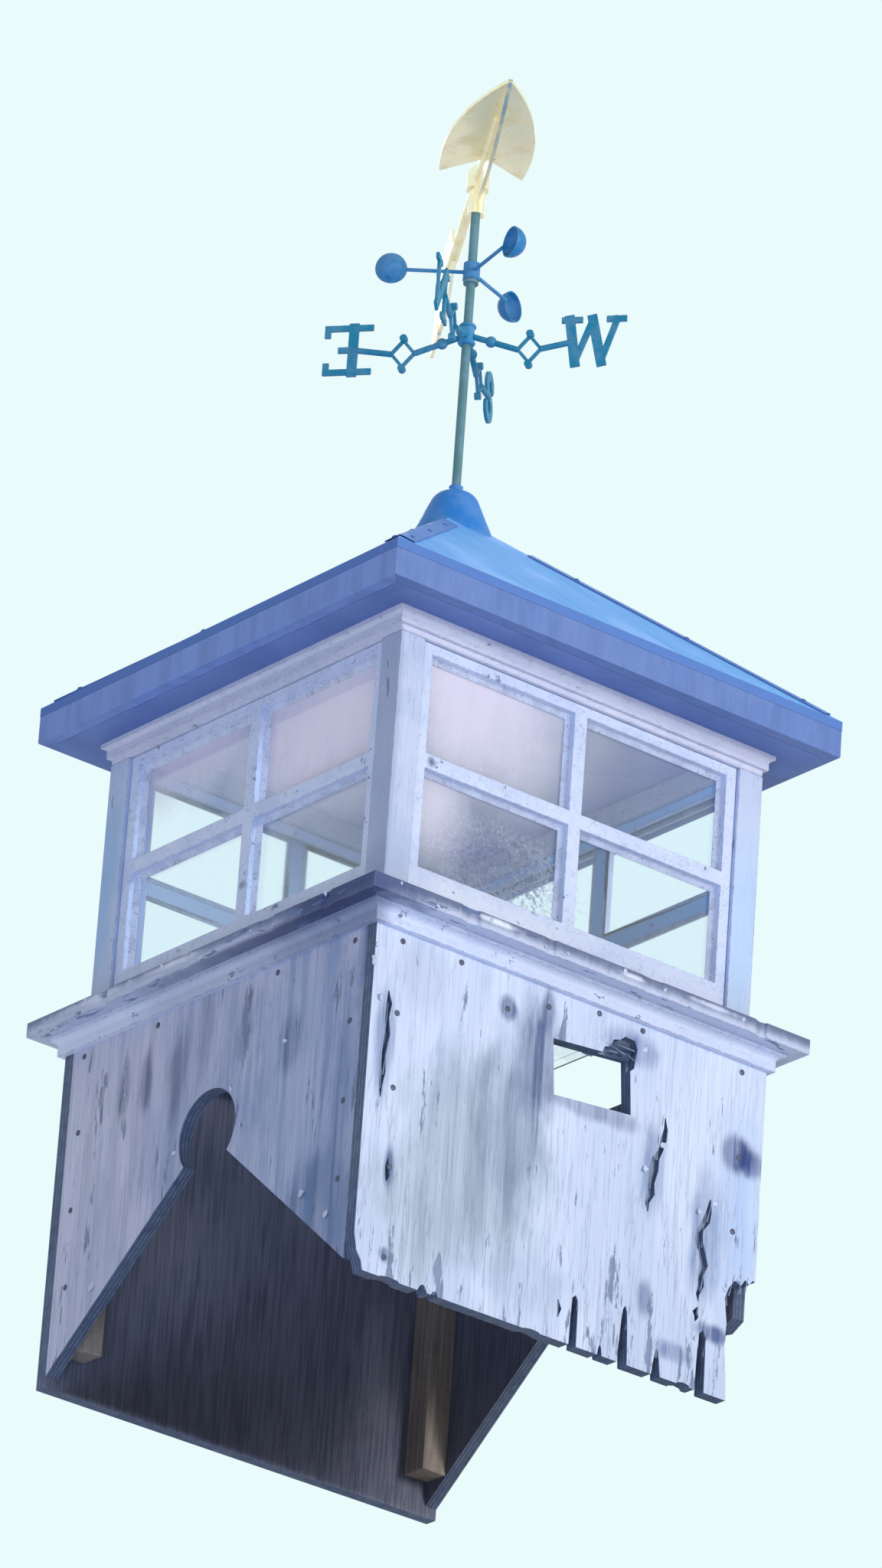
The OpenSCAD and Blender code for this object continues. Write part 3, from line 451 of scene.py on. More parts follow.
# Galvanised sheet under a satin blue coating: smooth with a soft sheen, chalked
# in streaks that run down the slope, and gently out of flat between its fixings
roofLook = {
    # The front and back slopes are a pale bright blue: partly a painted reflection of the sky
    "blue": "#6EB2FF",
    "chalked": "#8ACAFF",
    "dirty": "#589AEA",
    "rim": "#5E7EC0",  # faces that do not look up, such as the folded rim under the eaves, are painted this darker blue: painted shade
    "roughness": 0.55,
    "sheen": 0.07,
    "edge": 2.5,  # sizes of these in mm
    "streak": 30.0,
    "dent": 140.0,
}
# The side slopes, hip strips and screws are a darker blue than the front and back: painted shade
shadedSideLook = dict(roofLook, blue="#5F8AD6", chalked="#7FA6E6", dirty="#5480CC")
# The upright faces get less of the sky
fasciaLook = dict(
    roofLook, blue="#5E7CBA", chalked="#849BD0", dirty="#49649E", rim=None, roughness=0.42, sheen=0.35)


def coatedSheet(tree, look, stretch):
    streaks = blotches(tree, look["streak"], 0.40, 0.68, 4.0, stretch=stretch)
    fine = blotches(tree, 6.0, 0.45, 0.75, stretch=stretch)
    clouds = blotches(tree, 160.0, 0.40, 0.62, 3.0)
    specks = blotches(tree, 5.0, 0.66, 0.74, 3.0)
    colour = layers(tree, look["blue"], [
        (clouds, look["chalked"], 0.35),
        (streaks, look["dirty"], 0.35),
        (fine, look["chalked"], 0.20),
        (specks, look["dirty"], 0.50),
        # Lighter along the edges: worn chalky paint and a painted highlight
        (edgeWear(tree, look["edge"]), look["chalked"], 0.60),
    ])
    # Faces that do not look up get the rim colour: painted shade
    if look["rim"]:
        under = addNode(tree, "Math", {"operation": "LESS_THAN", 0: facing(tree, (0, 0, 1)), 1: 0.3})
        colour = layers(tree, colour, [(under, look["rim"], 0.9)])
    dents = addNode(tree, "TexNoise", {
        "Scale": perMetre(look["dent"]), "Detail": 1.0, "Vector": ownPlace(tree)})
    bump = addNode(tree, "Bump", {"Strength": 0.3, "Distance": 4 * mm, "Height": dents})
    grain = addNode(tree, "Bump", {"Strength": 0.25, "Distance": 0.2 * mm, "Height": fine, "Normal": bump})
    rough = addNode(tree, "MapRange", {
        "To Min": look["roughness"], "To Max": look["roughness"] + 0.22, "Value": clouds})
    return addNode(tree, "BsdfPrincipled", {
        "IOR": 1.5, "Specular IOR Level": look["sheen"], "Base Color": colour, "Roughness": rough,
        "Normal": grain})


slopeFrontBackSkySheen = newFinish("satinBlueSheetFrontBackSkySheen", coatedSheet, roofLook, (1, 0.12, 0.12))
slopeSidesShaded = newFinish("satinBlueSheetSidesShaded", coatedSheet, shadedSideLook, (0.12, 1, 0.12))
fasciaLong = newFinish("satinBlueFascia", coatedSheet, fasciaLook, (1, 1, 0.2))
# The left fascia is a paler blue than the others: painted sky light on its shaded side
fasciaLeftSkyLit = newFinish("satinBlueFasciaLeftSkyLit", coatedSheet, dict(fasciaLook, blue="#7692D8"), (1, 1, 0.2))

# The soffit board: blue outside the walls, old white paint inside the lantern
soffitLook = {
    "blue": "#6C87C6",
    "blueDark": "#4A62A4",
    "ceiling": "#F6EAFA",
    "ceilingShade": "#B0B4E6",
    "wallAt": 0.281,  # metres from the rod
    "wallShade": (0.300, 0.345),  # the blue is darkest at the first, plain at the second
    "ceilingDims": (0.02, 0.26),  # from here to there along x
}


def soffitBoard(tree, look):
    out = fromRod(tree)
    outside = addNode(tree, "Math", {"operation": "GREATER_THAN", 0: out, 1: look["wallAt"]})
    nearWall = addNode(tree, "MapRange", {
        "From Min": look["wallShade"][0], "From Max": look["wallShade"][1],
        "To Min": 1.0, "To Max": 0.0, "Value": out})
    clouds = blotches(tree, 90.0, 0.38, 0.65, 4.0)
    grain = blotches(tree, 5.0, 0.4, 0.7, 4.0, stretch=(0.08, 1, 1))
    blue = layers(tree, look["blue"], [(nearWall, look["blueDark"], 0.55), (clouds, look["blueDark"], 0.4)])
    dimmed = addNode(tree, "MapRange", {
        "From Min": look["ceilingDims"][0], "From Max": look["ceilingDims"][1],
        "Value": addNode(tree, "SeparateXYZ", {0: ownPlace(tree)}, "X")})
    shades = ((clouds, 0.45), (grain, 0.25), (dimmed, 0.7))
    pale = layers(tree, look["ceiling"], [(mask, look["ceilingShade"], share) for mask, share in shades])
    bump = addNode(tree, "Bump", {"Strength": 0.4, "Distance": 0.4 * mm, "Height": grain})
    return addNode(tree, "BsdfPrincipled", {
        "IOR": 1.5, "Roughness": 0.6, "Base Color": layers(tree, pale, [(outside, blue, 1.0)]),
        "Normal": bump})


soffitPaint = newFinish("soffitBoardTwoPaints", soffitBoard, soffitLook)

# Drawn window glass, 3 mm: clear, faintly uneven, with rain-spotted dust that
# is thick in the lower corners
glassLook = {
    "tint": "#F8FBFF",
    "milk": "#F2EAF6",
    "dust": "#7B83A8",
    "through": "#F6FAFC",
    "faint": 0.012,
    "ior": 1.52,
    "roughness": 0.03,
    "wave": 80.0,  # mm
    "secondPane": 1.5,  # the first pane that a ray passes counts 1
}


def dustyGlass(tree, look, milky, speckled):
    # milky, speckled: centre in mm, reach in mm, strength
    film = blotches(tree, 70.0, 0.30, 0.75, stretch=(1, 1, 0.6))
    spots = blotches(tree, 6.0, 0.48, 0.58, 4.0, 0.7)
    haze = addNode(tree, "Math", {"operation": "MULTIPLY", 0: film, 1: look["faint"]})
    for centre, reach, strength in milky:
        spot = softSpot(tree, centre, reach, 0.12, 60.0, 0.0)
        spot = addNode(tree, "Math", {"operation": "MULTIPLY", 0: spot, 1: strength})
        haze = addNode(tree, "Math", {"operation": "MAXIMUM", 0: haze, 1: spot})
    dirt = addNode(tree, "Math", {"operation": "MULTIPLY", 0: spots, 1: 0.5 * look["faint"]})
    for centre, reach, strength in speckled:
        spot = softSpot(tree, centre, reach, 0.2, 30.0, 0.1)
        spot = addNode(tree, "Math", {"operation": "MULTIPLY", 0: spot, 1: spots})
        spot = addNode(tree, "Math", {"operation": "MULTIPLY", 0: spot, 1: strength})
        dirt = addNode(tree, "Math", {"operation": "MAXIMUM", 0: dirt, 1: spot})
    cover = addNode(tree, "Math", {"operation": "ADD", "use_clamp": True, 0: dirt, 1: haze})
    clear = addNode(tree, "Math", {"operation": "SUBTRACT", 0: 1.0, 1: cover})
    share = addNode(tree, "Math", {"operation": "DIVIDE", "use_clamp": True, 0: dirt, 1: cover})
    film = layers(tree, look["milk"], [(share, look["dust"], 1.0)])
    dull = addNode(tree, "Math", {"operation": "MULTIPLY", "use_clamp": True, 0: cover, 1: 2.0})
    wave = addNode(tree, "TexNoise", {
        "Scale": perMetre(look["wave"]), "Detail": 1.0, "Vector": ownPlace(tree)})
    bump = addNode(tree, "Bump", {"Strength": 0.15, "Distance": 0.5 * mm, "Height": wave})
    shader = addNode(tree, "BsdfPrincipled", {
        "IOR": look["ior"], "Roughness": look["roughness"], "Transmission Weight": clear, "Normal": bump,
        "Base Color": layers(tree, look["tint"], [(dull, film, 1.0)])})
    # Lamps shine through without a dark shadow, and a second pane lets the eye past
    passing = addNode(tree, "BsdfTransparent", {"Color": look["through"]})
    rays = addNode(tree, "LightPath").node.outputs
    second = addNode(tree, "Math", {
        "operation": "GREATER_THAN", 0: rays["Transmission Depth"], 1: look["secondPane"]})
    freely = addNode(tree, "Math", {"operation": "MAXIMUM", 0: second, 1: rays["Is Shadow Ray"]})
    return addNode(tree, "MixShader", {0: freely, 1: shader, 2: passing})


glassFront = newFinish("dustyWindowGlassFront", dustyGlass, glassLook, [
    ((-190, 0, 830), (300, 0, 220), 0.52),
    ((-230, 0, 650), (120, 0, 120), 0.40),
], [((-105, 0, 600), (150, 0, 80), 0.54)])
glassLeft = newFinish("dustyWindowGlassLeft", dustyGlass, glassLook, [
    ((0, -150, 800), (0, 270, 190), 0.88),
    ((0, 150, 860), (0, 200, 130), 0.70),
], [((0, 0, 552), (0, 250, 14), 0.50)])
glassOther = newFinish("dustyWindowGlass", dustyGlass, glassLook, [], [((0, 0, 560), (260, 260, 30), 0.40)])

# Wrought and cast iron under blue enamel paint, gone satin: darker where it has
# worn, with pinholes and small chips
ironLook = {"chip": "#2B3A50", "faded": "#9DBBE0", "roughness": 0.42, "sheen": 0.3, "grit": 1.8}


def bluePaintedIron(tree, look, shade):
    clouds = blotches(tree, 25.0, 0.40, 0.66, 4.0)
    chips = blotches(tree, 4.0, 0.66, 0.70)
    grit = addNode(tree, "TexNoise", {
        "Scale": perMetre(look["grit"]), "Detail": 3.0, "Vector": ownPlace(tree)})
    bump = addNode(tree, "Bump", {"Strength": 0.35, "Distance": 0.3 * mm, "Height": grit})
    rough = addNode(tree, "MapRange", {
        "To Min": look["roughness"], "To Max": look["roughness"] + 0.25, "Value": clouds})
    return addNode(tree, "BsdfPrincipled", {
        "IOR": 1.5, "Specular IOR Level": look["sheen"], "Roughness": rough, "Normal": bump,
        "Base Color": layers(tree, shade, [(clouds, look["faded"], 0.22), (chips, look["chip"], 0.7)])})


compassBlue = newFinish("brightBlueEnamelIron", bluePaintedIron, ironLook, "#1C84A8")
hubBlue = newFinish("paleBlueEnamelIron", bluePaintedIron, ironLook, "#3A94C4")
cupBlue = newFinish("deepBlueEnamelCups", bluePaintedIron, ironLook, "#2F84BC")
capBlue = newFinish("deepBlueCapPaint", bluePaintedIron, ironLook, "#2483DA")
rodPaint = newFinish("greyGreenRodPaint", bluePaintedIron, ironLook, "#5E8A8E")

# Copper gilded with gold leaf, weathered: warm metal paled nearly to white, a painted glint of the sun, with
# thin places where the size shows through
giltLook = {"leaf": "#FFF4D4", "thin": "#F9E3B0", "bare": "#C2A06C", "roughness": 0.30}


def wornGoldLeaf(tree, look):
    thin = blotches(tree, 30.0, 0.42, 0.68)
    bare = blotches(tree, 7.0, 0.66, 0.70, 6.0)
    creases = hairlines(tree, 16.0, 0.01)
    colour = layers(tree, look["leaf"], [
        (thin, look["thin"], 0.5), (bare, look["bare"], 0.7), (creases, look["thin"], 0.5)])
    bump = addNode(tree, "Bump", {"Strength": 0.3, "Distance": 0.15 * mm, "Height": creases})
    rough = addNode(tree, "MapRange", {
        "To Min": look["roughness"], "To Max": look["roughness"] + 0.3, "Value": thin})
    return addNode(tree, "BsdfPrincipled", {
        "Metallic": 1.0, "Base Color": colour, "Roughness": rough, "Normal": bump})


goldLeaf = newFinish("wornGoldLeaf", wornGoldLeaf, giltLook)

# Rough sawn pine, never painted: warm grey with saw marks and dark grain
sawnLook = {"wood": "#A79A8E", "grain": "#6F655E", "roughness": 0.8}


def sawnPine(tree, look):
    grain = blotches(tree, 6.0, 0.36, 0.68, stretch=(1, 1, 0.05))
    saw = blotches(tree, 3.0, 0.40, 0.60, 2.0, stretch=(0.1, 0.1, 1))
    colour = layers(tree, look["wood"], [(grain, look["grain"], 0.7), (saw, look["grain"], 0.15)])
    bump = addNode(tree, "Bump", {"Strength": 0.5, "Distance": 0.4 * mm, "Height": saw})
    return addNode(tree, "BsdfPrincipled", {
        "IOR": 1.5, "Roughness": look["roughness"], "Base Color": colour, "Normal": bump})


barePine = newFinish("sawnPine", sawnPine, sawnLook)

# Torn softwood fibres, weathered silver grey with darker summer wood
splinterLook = {"wood": "#8F9AB2", "grain": "#566481", "roughness": 0.8}
tornWood = newFinish("tornGreyFibres", sawnPine, splinterLook)

# Wire nails of zinc coated steel, dulled and rust stained
nailLook = {"zinc": "#596278", "rust": "#4C4654", "dark": "#2C3448", "roughness": 0.6}


def rustedZinc(tree, look):
    rust = blotches(tree, 6.0, 0.44, 0.56)
    pits = blotches(tree, 1.6, 0.58, 0.66, 3.0)
    colour = layers(tree, look["zinc"], [(rust, look["rust"], 0.8), (pits, look["dark"], 0.7)])
    bump = addNode(tree, "Bump", {"Strength": 0.5, "Distance": 0.2 * mm, "Height": pits})
    metal = addNode(tree, "MapRange", {"To Min": 1.0, "To Max": 0.0, "Value": rust})
    return addNode(tree, "BsdfPrincipled", {
        "Metallic": metal, "Roughness": look["roughness"], "Base Color": colour, "Normal": bump})


rustyNail = newFinish("rustedZincNails", rustedZinc, nailLook)

# Linseed oil putty, painted over with the sash: smooth, hardened, with cracks
# across it
puttyLook = {"paint": "#CBD2EA", "worn": "#A4ADC6", "crack": "#5F6B88", "roughness": 0.55}


def hardPutty(tree, look):
    worn = blotches(tree, 26.0, 0.42, 0.62)
    cracks = hairlines(tree, 20.0, 0.008)
    colour = layers(tree, look["paint"], [(worn, look["worn"], 0.5), (cracks, look["crack"], 0.8)])
    bump = addNode(tree, "Bump", {"Strength": -0.6, "Distance": 0.4 * mm, "Height": cracks})
    return addNode(tree, "BsdfPrincipled", {
        "IOR": 1.48, "Roughness": look["roughness"], "Base Color": colour, "Normal": bump})


windowPutty = newFinish("paintedWindowPutty", hardPutty, puttyLook)

# Chips of the old paint film: white outside, grey and chalky behind
chipLook = {"paint": "#CFD8EE", "behind": "#8D99B8", "roughness": 0.6}


def paintFilm(tree, look):
    worn = blotches(tree, 8.0, 0.40, 0.66)
    cracks = hairlines(tree, 7.0, 0.02)
    colour = layers(tree, look["paint"], [(worn, look["behind"], 0.45), (cracks, look["behind"], 0.7)])
    bump = addNode(tree, "Bump", {"Strength": 0.5, "Distance": 0.2 * mm, "Height": worn})
    return addNode(tree, "BsdfPrincipled", {
        "IOR": 1.5, "Roughness": look["roughness"], "Base Color": colour, "Normal": bump})


paintChip = newFinish("loosePaintFilm", paintFilm, chipLook)
print("materials made")

# A node takes the finish whose name its own starts with, the longest one first
finishes = {
    "base_front": plywoodFront, "base_left": plywoodLeftShaded, "base_back": plywoodBack,
    "base_right": plywoodRight, "base_corner_cleats": barePine,
    "ledge": ledgeAlongX, "ledge_left": ledgeAlongY, "ledge_right": ledgeAlongY,
    "ledge_moulding": mouldingPaint, "crown_moulding": crownPaint, "top_plate": crownPaint,
    "post": uprightTrim, "sash": sashPaint, "sash_back": sashBackSkyLit, "sash_right": sashRightSkyLit,
    "glass": glassOther, "glass_front": glassFront, "glass_left": glassLeft,
    "roof_deck": soffitPaint, "fascia": fasciaLong, "fascia_left": fasciaLeftSkyLit,
    "roof": slopeFrontBackSkySheen, "roof_left": slopeSidesShaded, "roof_right": slopeSidesShaded,
    "peak_cap": capBlue, "vane_rod": rodPaint, "compass": compassBlue, "compass_hub": hubBlue,
    "rotor_hub": cupBlue, "cup": cupBlue, "vane_socket": goldLeaf, "arrow": goldLeaf,
}
# Sawn and planed boards have slightly rounded corners, radius in mm
roundedEdges = {
    "post": 2.0, "ledge_back": 2.0, "fascia": 1.2, "top_plate": 1.5, "base_corner_cleats": 1.5,
    "sash_front": 0.8, "sash_back": 0.8, "sash_left": 0.8,
}


def roundEdges(node, radius):
    weld = node.modifiers.new("joinCorners", "WELD")
    weld.merge_threshold = 0.01 * mm
    bevel = node.modifiers.new("roundedCorners", "BEVEL")
    bevel.width = radius * mm
    bevel.segments = 2
    bevel.limit_method = "ANGLE"
    bevel.angle_limit = math.radians(40)


for nodeName, node in nodes.items():
    start = max((start for start in finishes if nodeName.startswith(start)), key=len)
    node.data.materials.clear()
    node.data.materials.append(finishes[start])
    for start, radius in roundedEdges.items():
        if nodeName.startswith(start):
            roundEdges(node, radius)
print("finishes on the frame")


def chooseParts(piece, kind, test):
    # Selects the vertices, edges or faces of the piece in edit mode that pass the test
    bpy.ops.mesh.select_mode(type=kind)
    bpy.ops.mesh.select_all(action="DESELECT")
    mesh = bmesh.from_edit_mesh(piece.data)
    parts = {"VERT": mesh.verts, "EDGE": mesh.edges, "FACE": mesh.faces}[kind]
    parts.index_update()
    for part in parts:
        corners = [part] if kind == "VERT" else part.verts
        middle = sum((corner.co for corner in corners), Vector()) / len(corners)
        part.select_set(bool(test(part, middle)))
    mesh.select_flush_mode()
    bmesh.update_edit_mesh(piece.data)


def chooseWhole():
    bpy.ops.mesh.select_all(action="SELECT")


def startShaping(name):
    piece = bpy.context.active_object
    piece.name = name
    piece.data.name = name
    setMode("EDIT")
    return piece


def thicken(piece, thickness):
    # Gives a sheet its thickness on the outer side
    sheet = piece.modifiers.new("sheet", "SOLIDIFY")
    sheet.thickness = thickness
    sheet.offset = 1.0
    activate(piece)
    bpy.ops.object.modifier_apply(modifier=sheet.name)


def fixPlace(piece):
    # The place goes into the mesh and the object to the origin
    activate(piece)
    bpy.ops.object.transform_apply(location=True, rotation=True, scale=True)


def placedCopy(source, placement):
    copy = source.copy()
    copy.data = source.data.copy()
    bpy.context.collection.objects.link(copy)
    copy.matrix_world = placement
    fixPlace(copy)
    return copy


def gather(copies, name, finish, body="cupola"):
    # Joins the copies into one piece that rides on a body
    deselectAll()
    for copy in copies:
        copy.select_set(True)
    bpy.context.view_layer.objects.active = copies[0]
    bpy.ops.object.join()
    piece = bpy.context.active_object
    piece.name = name
    piece.data.name = name
    piece.data.materials.clear()
    piece.data.materials.append(finish)
    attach(piece, body)
    return piece


def discard(piece):
    bpy.data.objects.remove(piece, do_unlink=True)


def turned(degrees, axis="Z"):
    return Matrix.Rotation(math.radians(degrees), 4, axis)


# Local x runs along a side, local y up it and local z out of it
frontAxes = Matrix(((1, 0, 0, 0), (0, 0, -1, 0), (0, 1, 0, 0), (0, 0, 0, 1)))


def onSide(turn, along, height, out=skirtHalf, spin=0.0, size=(1, 1, 1), tilt=0.0):
    # A placement on the side at that turn, along it and up it in mm
    place = Matrix.Translation((along * mm, -out, height * mm))
    return turned(turn) @ place @ frontAxes @ turned(spin) @ turned(tilt, "Y") @ Matrix.Diagonal((*size, 1))


# Box nails driven into the corner cleats, heads a little proud
nailShape = {"head": 3.8 * mm, "proud": 0.9 * mm, "dome": 0.7 * mm, "lean": 6}
# For each side, the places along it and up it in mm
nailPlaces = {
    0: [(-273, 341), (-268, 142), (-266, 26), (-104, 401), (-40, 424), (-272, 436), (-271, 244),
        (273, 436), (275, 322), (272, 222), (110, 440), (-180, 438), (40, 441)],
    90: [(-272, 438), (-271, 340), (-273, 236), (272, 437), (271, 330), (273, 232), (271, 128),
         (0, 440), (-130, 436)],
    180: [(-272, 438), (-273, 336), (-271, 232), (-272, 130), (-272, 34), (272, 436), (271, 332),
          (273, 230), (272, 126), (271, 32), (-90, 438), (90, 437), (0, 36)],
    -90: [(-272, 438), (-271, 334), (-273, 230), (-270, 126), (272, 436), (273, 330), (271, 226),
          (272, 124), (-120, 437), (120, 438)],
}


def driveNails(places, head, proud, dome, lean):
    deselectAll()
    bpy.ops.mesh.primitive_cylinder_add(vertices=12, radius=head, depth=proud)
    nail = startShaping("boxNail")
    chooseParts(nail, "FACE", lambda face, middle: middle.z > 0.4 * proud)
    for rise in (0.6, 0.4):
        bpy.ops.mesh.inset(thickness=0.35 * head)
        bpy.ops.transform.translate(value=(0, 0, rise * dome))
    setMode("OBJECT")
    bpy.ops.object.shade_smooth_by_angle(angle=math.radians(50))
    copies = []
    for turn, spots in places.items():
        for along, height in spots:
            tilt = chance.uniform(-lean, lean)
            copies.append(placedCopy(nail, onSide(turn, along, height, skirtHalf + 0.3 * proud, tilt=tilt)))
    discard(nail)
    gather(copies, "skirt_nails", rustyNail)


driveNails(nailPlaces, **nailShape)
print("nails driven")

# Chips of paint that have curled up along the splits, cracks and edges
flakeShape = {"length": 20 * mm, "width": 13 * mm, "film": 0.5 * mm, "columns": 5, "rows": 4}
flakeCurls = (26, 44, 66)  # degrees over the whole chip


def makeFlake(curl, seed, length, width, film, columns, rows):
    deselectAll()
    bpy.ops.mesh.primitive_grid_add(x_subdivisions=columns, y_subdivisions=rows, size=1)
    flake = startShaping("flake")
    bpy.ops.transform.resize(value=(length, width, 1))
    bpy.ops.transform.translate(value=(length / 2, 0, 0))
    # Corners break off at odd angles
    cuts = random.Random(seed)
    for turn in (35, 145, 215, 325):
        angle = math.radians(turn + cuts.uniform(-25, 25))
        way = Vector((math.cos(angle), math.sin(angle), 0))
        cut = Vector((length / 2, 0, 0)) + way * width * cuts.uniform(0.42, 0.62)
        chooseWhole()
        bpy.ops.mesh.bisect(plane_co=cut, plane_no=way, clear_outer=True)
    reach = [vertex.co.x for vertex in bmesh.from_edit_mesh(flake.data).verts]
    step = length / columns
    for column in range(1, columns):
        hinge = column * step
        chooseParts(flake, "VERT", lambda vertex, middle: abs(reach[vertex.index] - hinge) < 0.1 * step)
        mesh = bmesh.from_edit_mesh(flake.data)
        row = [vertex.co.copy() for vertex in mesh.verts if vertex.select]
        centre = sum(row, Vector()) / len(row)
        chooseParts(flake, "VERT", lambda vertex, middle: reach[vertex.index] > hinge + 0.1 * step)
        bpy.ops.transform.rotate(value=math.radians(curl / columns), orient_axis="Y", center_override=centre)
    # Ragged ends
    chooseWhole()
    bpy.ops.transform.vertex_random(offset=0.06 * length, seed=seed)
    setMode("OBJECT")
    heights = [vertex.co.z for vertex in flake.data.vertices]
    if abs(min(heights)) > max(heights):
        # It has to curl away from the wood
        setMode("EDIT")
        chooseWhole()
        bpy.ops.transform.resize(value=(1, 1, -1), center_override=(0, 0, 0))
        bpy.ops.mesh.flip_normals()
        setMode("OBJECT")
    thicken(flake, film)
    return flake


flakeKinds = [makeFlake(curl, seed, **flakeShape) for seed, curl in enumerate(flakeCurls, 1)]
# For each side, the place along it and up it in mm, turn of the chip, and its size
flakePlaces = {
    0: [
        (133, 262, 190, 0.7), (147, 300, 10, 0.6), (222, 232, 185, 0.7), (236, 250, 355, 0.6),
        (-294, 352, 180, 0.6), (102, 72, 175, 0.5), (228, 66, 180, 0.6), (262, 150, 300, 0.6),
        (286, 168, 280, 0.6), (40, 402, 60, 0.6), (112, 414, 20, 0.5), (-306, 396, 180, 1.1),
        (-305, 420, 172, 0.6),
    ],
    -90: [
        (-60, 250, 195, 0.5), (64, 252, 345, 0.6), (40, 302, 65, 0.5), (150, 340, 185, 0.5),
        (-180, 360, 8, 0.4), (200, 130, 300, 0.8), (-210, 120, 240, 0.8), (250, 90, 310, 0.7),
    ],
    90: [
        (-200, 150, 250, 0.9), (-250, 130, 240, 0.8), (60, 254, 340, 0.8), (-60, 256, 200, 0.8),
        (180, 300, 190, 0.8), (210, 118, 300, 0.8), (130, 200, 310, 0.7),
    ],
    180: [
        (-290, 60, 180, 0.8), (-200, 22, 260, 0.7), (-40, 22, 280, 0.7), (140, 24, 260, 0.8),
        (290, 140, 0, 0.8),
    ],
}


def scatterFlakes(kinds, places, name, out):
    copies = []
    for turn, spots in places.items():
        for along, height, spin, size in spots:
            size = size * chance.uniform(0.8, 1.1)
            spin = spin + chance.uniform(-15, 15)
            placement = onSide(turn, along, height, out, spin, (size, size * 0.9, size))
            copies.append(placedCopy(chance.choice(kinds), placement))
    gather(copies, name, paintChip)


scatterFlakes(flakeKinds, flakePlaces, "skirt_paint_flakes", skirtHalf)
ledgeEdge = {"out": 350 * mm, "height": 484, "from": -310, "to": 320}
ledgeSteps = {0: 70, -90: 80, 90: 110, 180: 110}  # mm between the chips on each side
ledgePlaces = {
    turn: [
        (along + chance.uniform(-20, 20), ledgeEdge["height"] + chance.uniform(-4, 4),
         chance.choice((85, 95, 265, 275)), chance.uniform(0.3, 0.5))
        for along in range(ledgeEdge["from"], ledgeEdge["to"], step)
    ]
    for turn, step in ledgeSteps.items()
}
scatterFlakes(flakeKinds, ledgePlaces, "ledge_paint_flakes", ledgeEdge["out"])
for kind in flakeKinds:
    discard(kind)
print("paint flakes laid")

# Slivers of torn veneer that stand off the splits, cracks and rotted corners
sliverShape = {"length": 40 * mm, "width": 3.0 * mm, "thick": 1.6 * mm}
# For each side, the place along it and up it in mm, turn in the side's plane, lift
# off it and length
sliverPlaces = {
    0: [
        (26, 64, 2, 8, 0.9), (35, 60, -3, -6, 0.7), (103, 70, 3, 9, 0.9), (115, 62, -4, 7, 0.8),
        (163, 34, 2, 8, 0.5), (228, 74, 2, 6, 0.8), (240, 66, -3, 9, 0.9), (268, 140, 14, 10, 0.8),
        (276, 152, -10, 8, 0.7), (290, 158, 8, 12, 0.6), (300, 160, -6, 8, 0.5), (150, 322, -3, 7, 0.9),
        (146, 296, 5, 9, 0.8), (138, 258, 3, 7, 0.9), (134, 214, 2, 6, 0.7), (226, 206, 3, 8, 0.9),
        (221, 176, 4, 6, 0.8), (229, 146, -3, 7, 0.8), (224, 110, 2, 6, 0.6), (234, 238, -4, 9, 0.7),
        (70, 404, 84, 10, 0.9), (84, 410, 96, 12, 1.0), (98, 398, 76, 8, 0.7), (62, 398, 100, 9, 0.6),
        (104, 366, 4, 10, 0.6), (-288, 330, 1, 7, 1.0), (-285, 280, -2, 6, 1.1), (-290, 250, 2, 7, 0.6),
        (-303, 36, 8, 12, 0.7), (-308, 52, -4, 9, 0.6), (-200, 10, 3, 6, 0.3), (-186, 8, -4, 6, 0.3),
        (70, 16, 3, 8, 0.4), (5, 40, 2, 6, 0.6),
    ],
    90: [
        (-206, 96, 12, 10, 0.8), (-222, 104, -8, 12, 0.7), (-240, 108, 10, 10, 0.6), (-262, 112, -4, 9, 0.6),
    ],
}


def makeSliver(seed, length, width, thick):
    deselectAll()
    bpy.ops.mesh.primitive_cone_add(
        vertices=5, radius1=0.5, radius2=0.06, depth=1, rotation=(-math.pi / 2, 0, 0))
    sliver = startShaping("sliver")
    chooseParts(sliver, "EDGE", lambda edge, middle: abs(edge.verts[0].co.z - edge.verts[1].co.z) > 0.5)
    bpy.ops.mesh.subdivide(number_cuts=3)
    chooseWhole()
    bpy.ops.transform.vertex_random(offset=0.06, seed=seed)
    setMode("OBJECT")
    fixPlace(sliver)
    setMode("EDIT")
    chooseWhole()
    bpy.ops.transform.resize(value=(width, length, thick), center_override=(0, 0, 0))
    setMode("OBJECT")
    return sliver


def scatterSlivers(places, shape):
    kinds = [makeSliver(seed, **shape) for seed in (4, 5, 6)]
    copies = []
    out = skirtHalf - 0.4 * shape["thick"]
    for turn, spots in places.items():
        for along, height, spin, lift, length in spots:
            placement = onSide(turn, along, height, out, spin) @ turned(lift, "X")
            placement = placement @ Matrix.Diagonal((1, length, 1, 1))
            copies.append(placedCopy(chance.choice(kinds), placement))
    for kind in kinds:
        discard(kind)
    gather(copies, "skirt_splinters", tornWood)


scatterSlivers(sliverPlaces, sliverShape)
print("splinters laid")

# A fillet of putty holds each pane against the bars
puttyShape = {
    "across": 125, "rows": (620.5, 773.5),  # middles of the panes in mm
    "glassFace": 277 * mm, "paneWide": 230 * mm, "paneHigh": 133 * mm,
    "width": 6.5 * mm, "height": 6.0 * mm, "edge": 0.8 * mm,
}


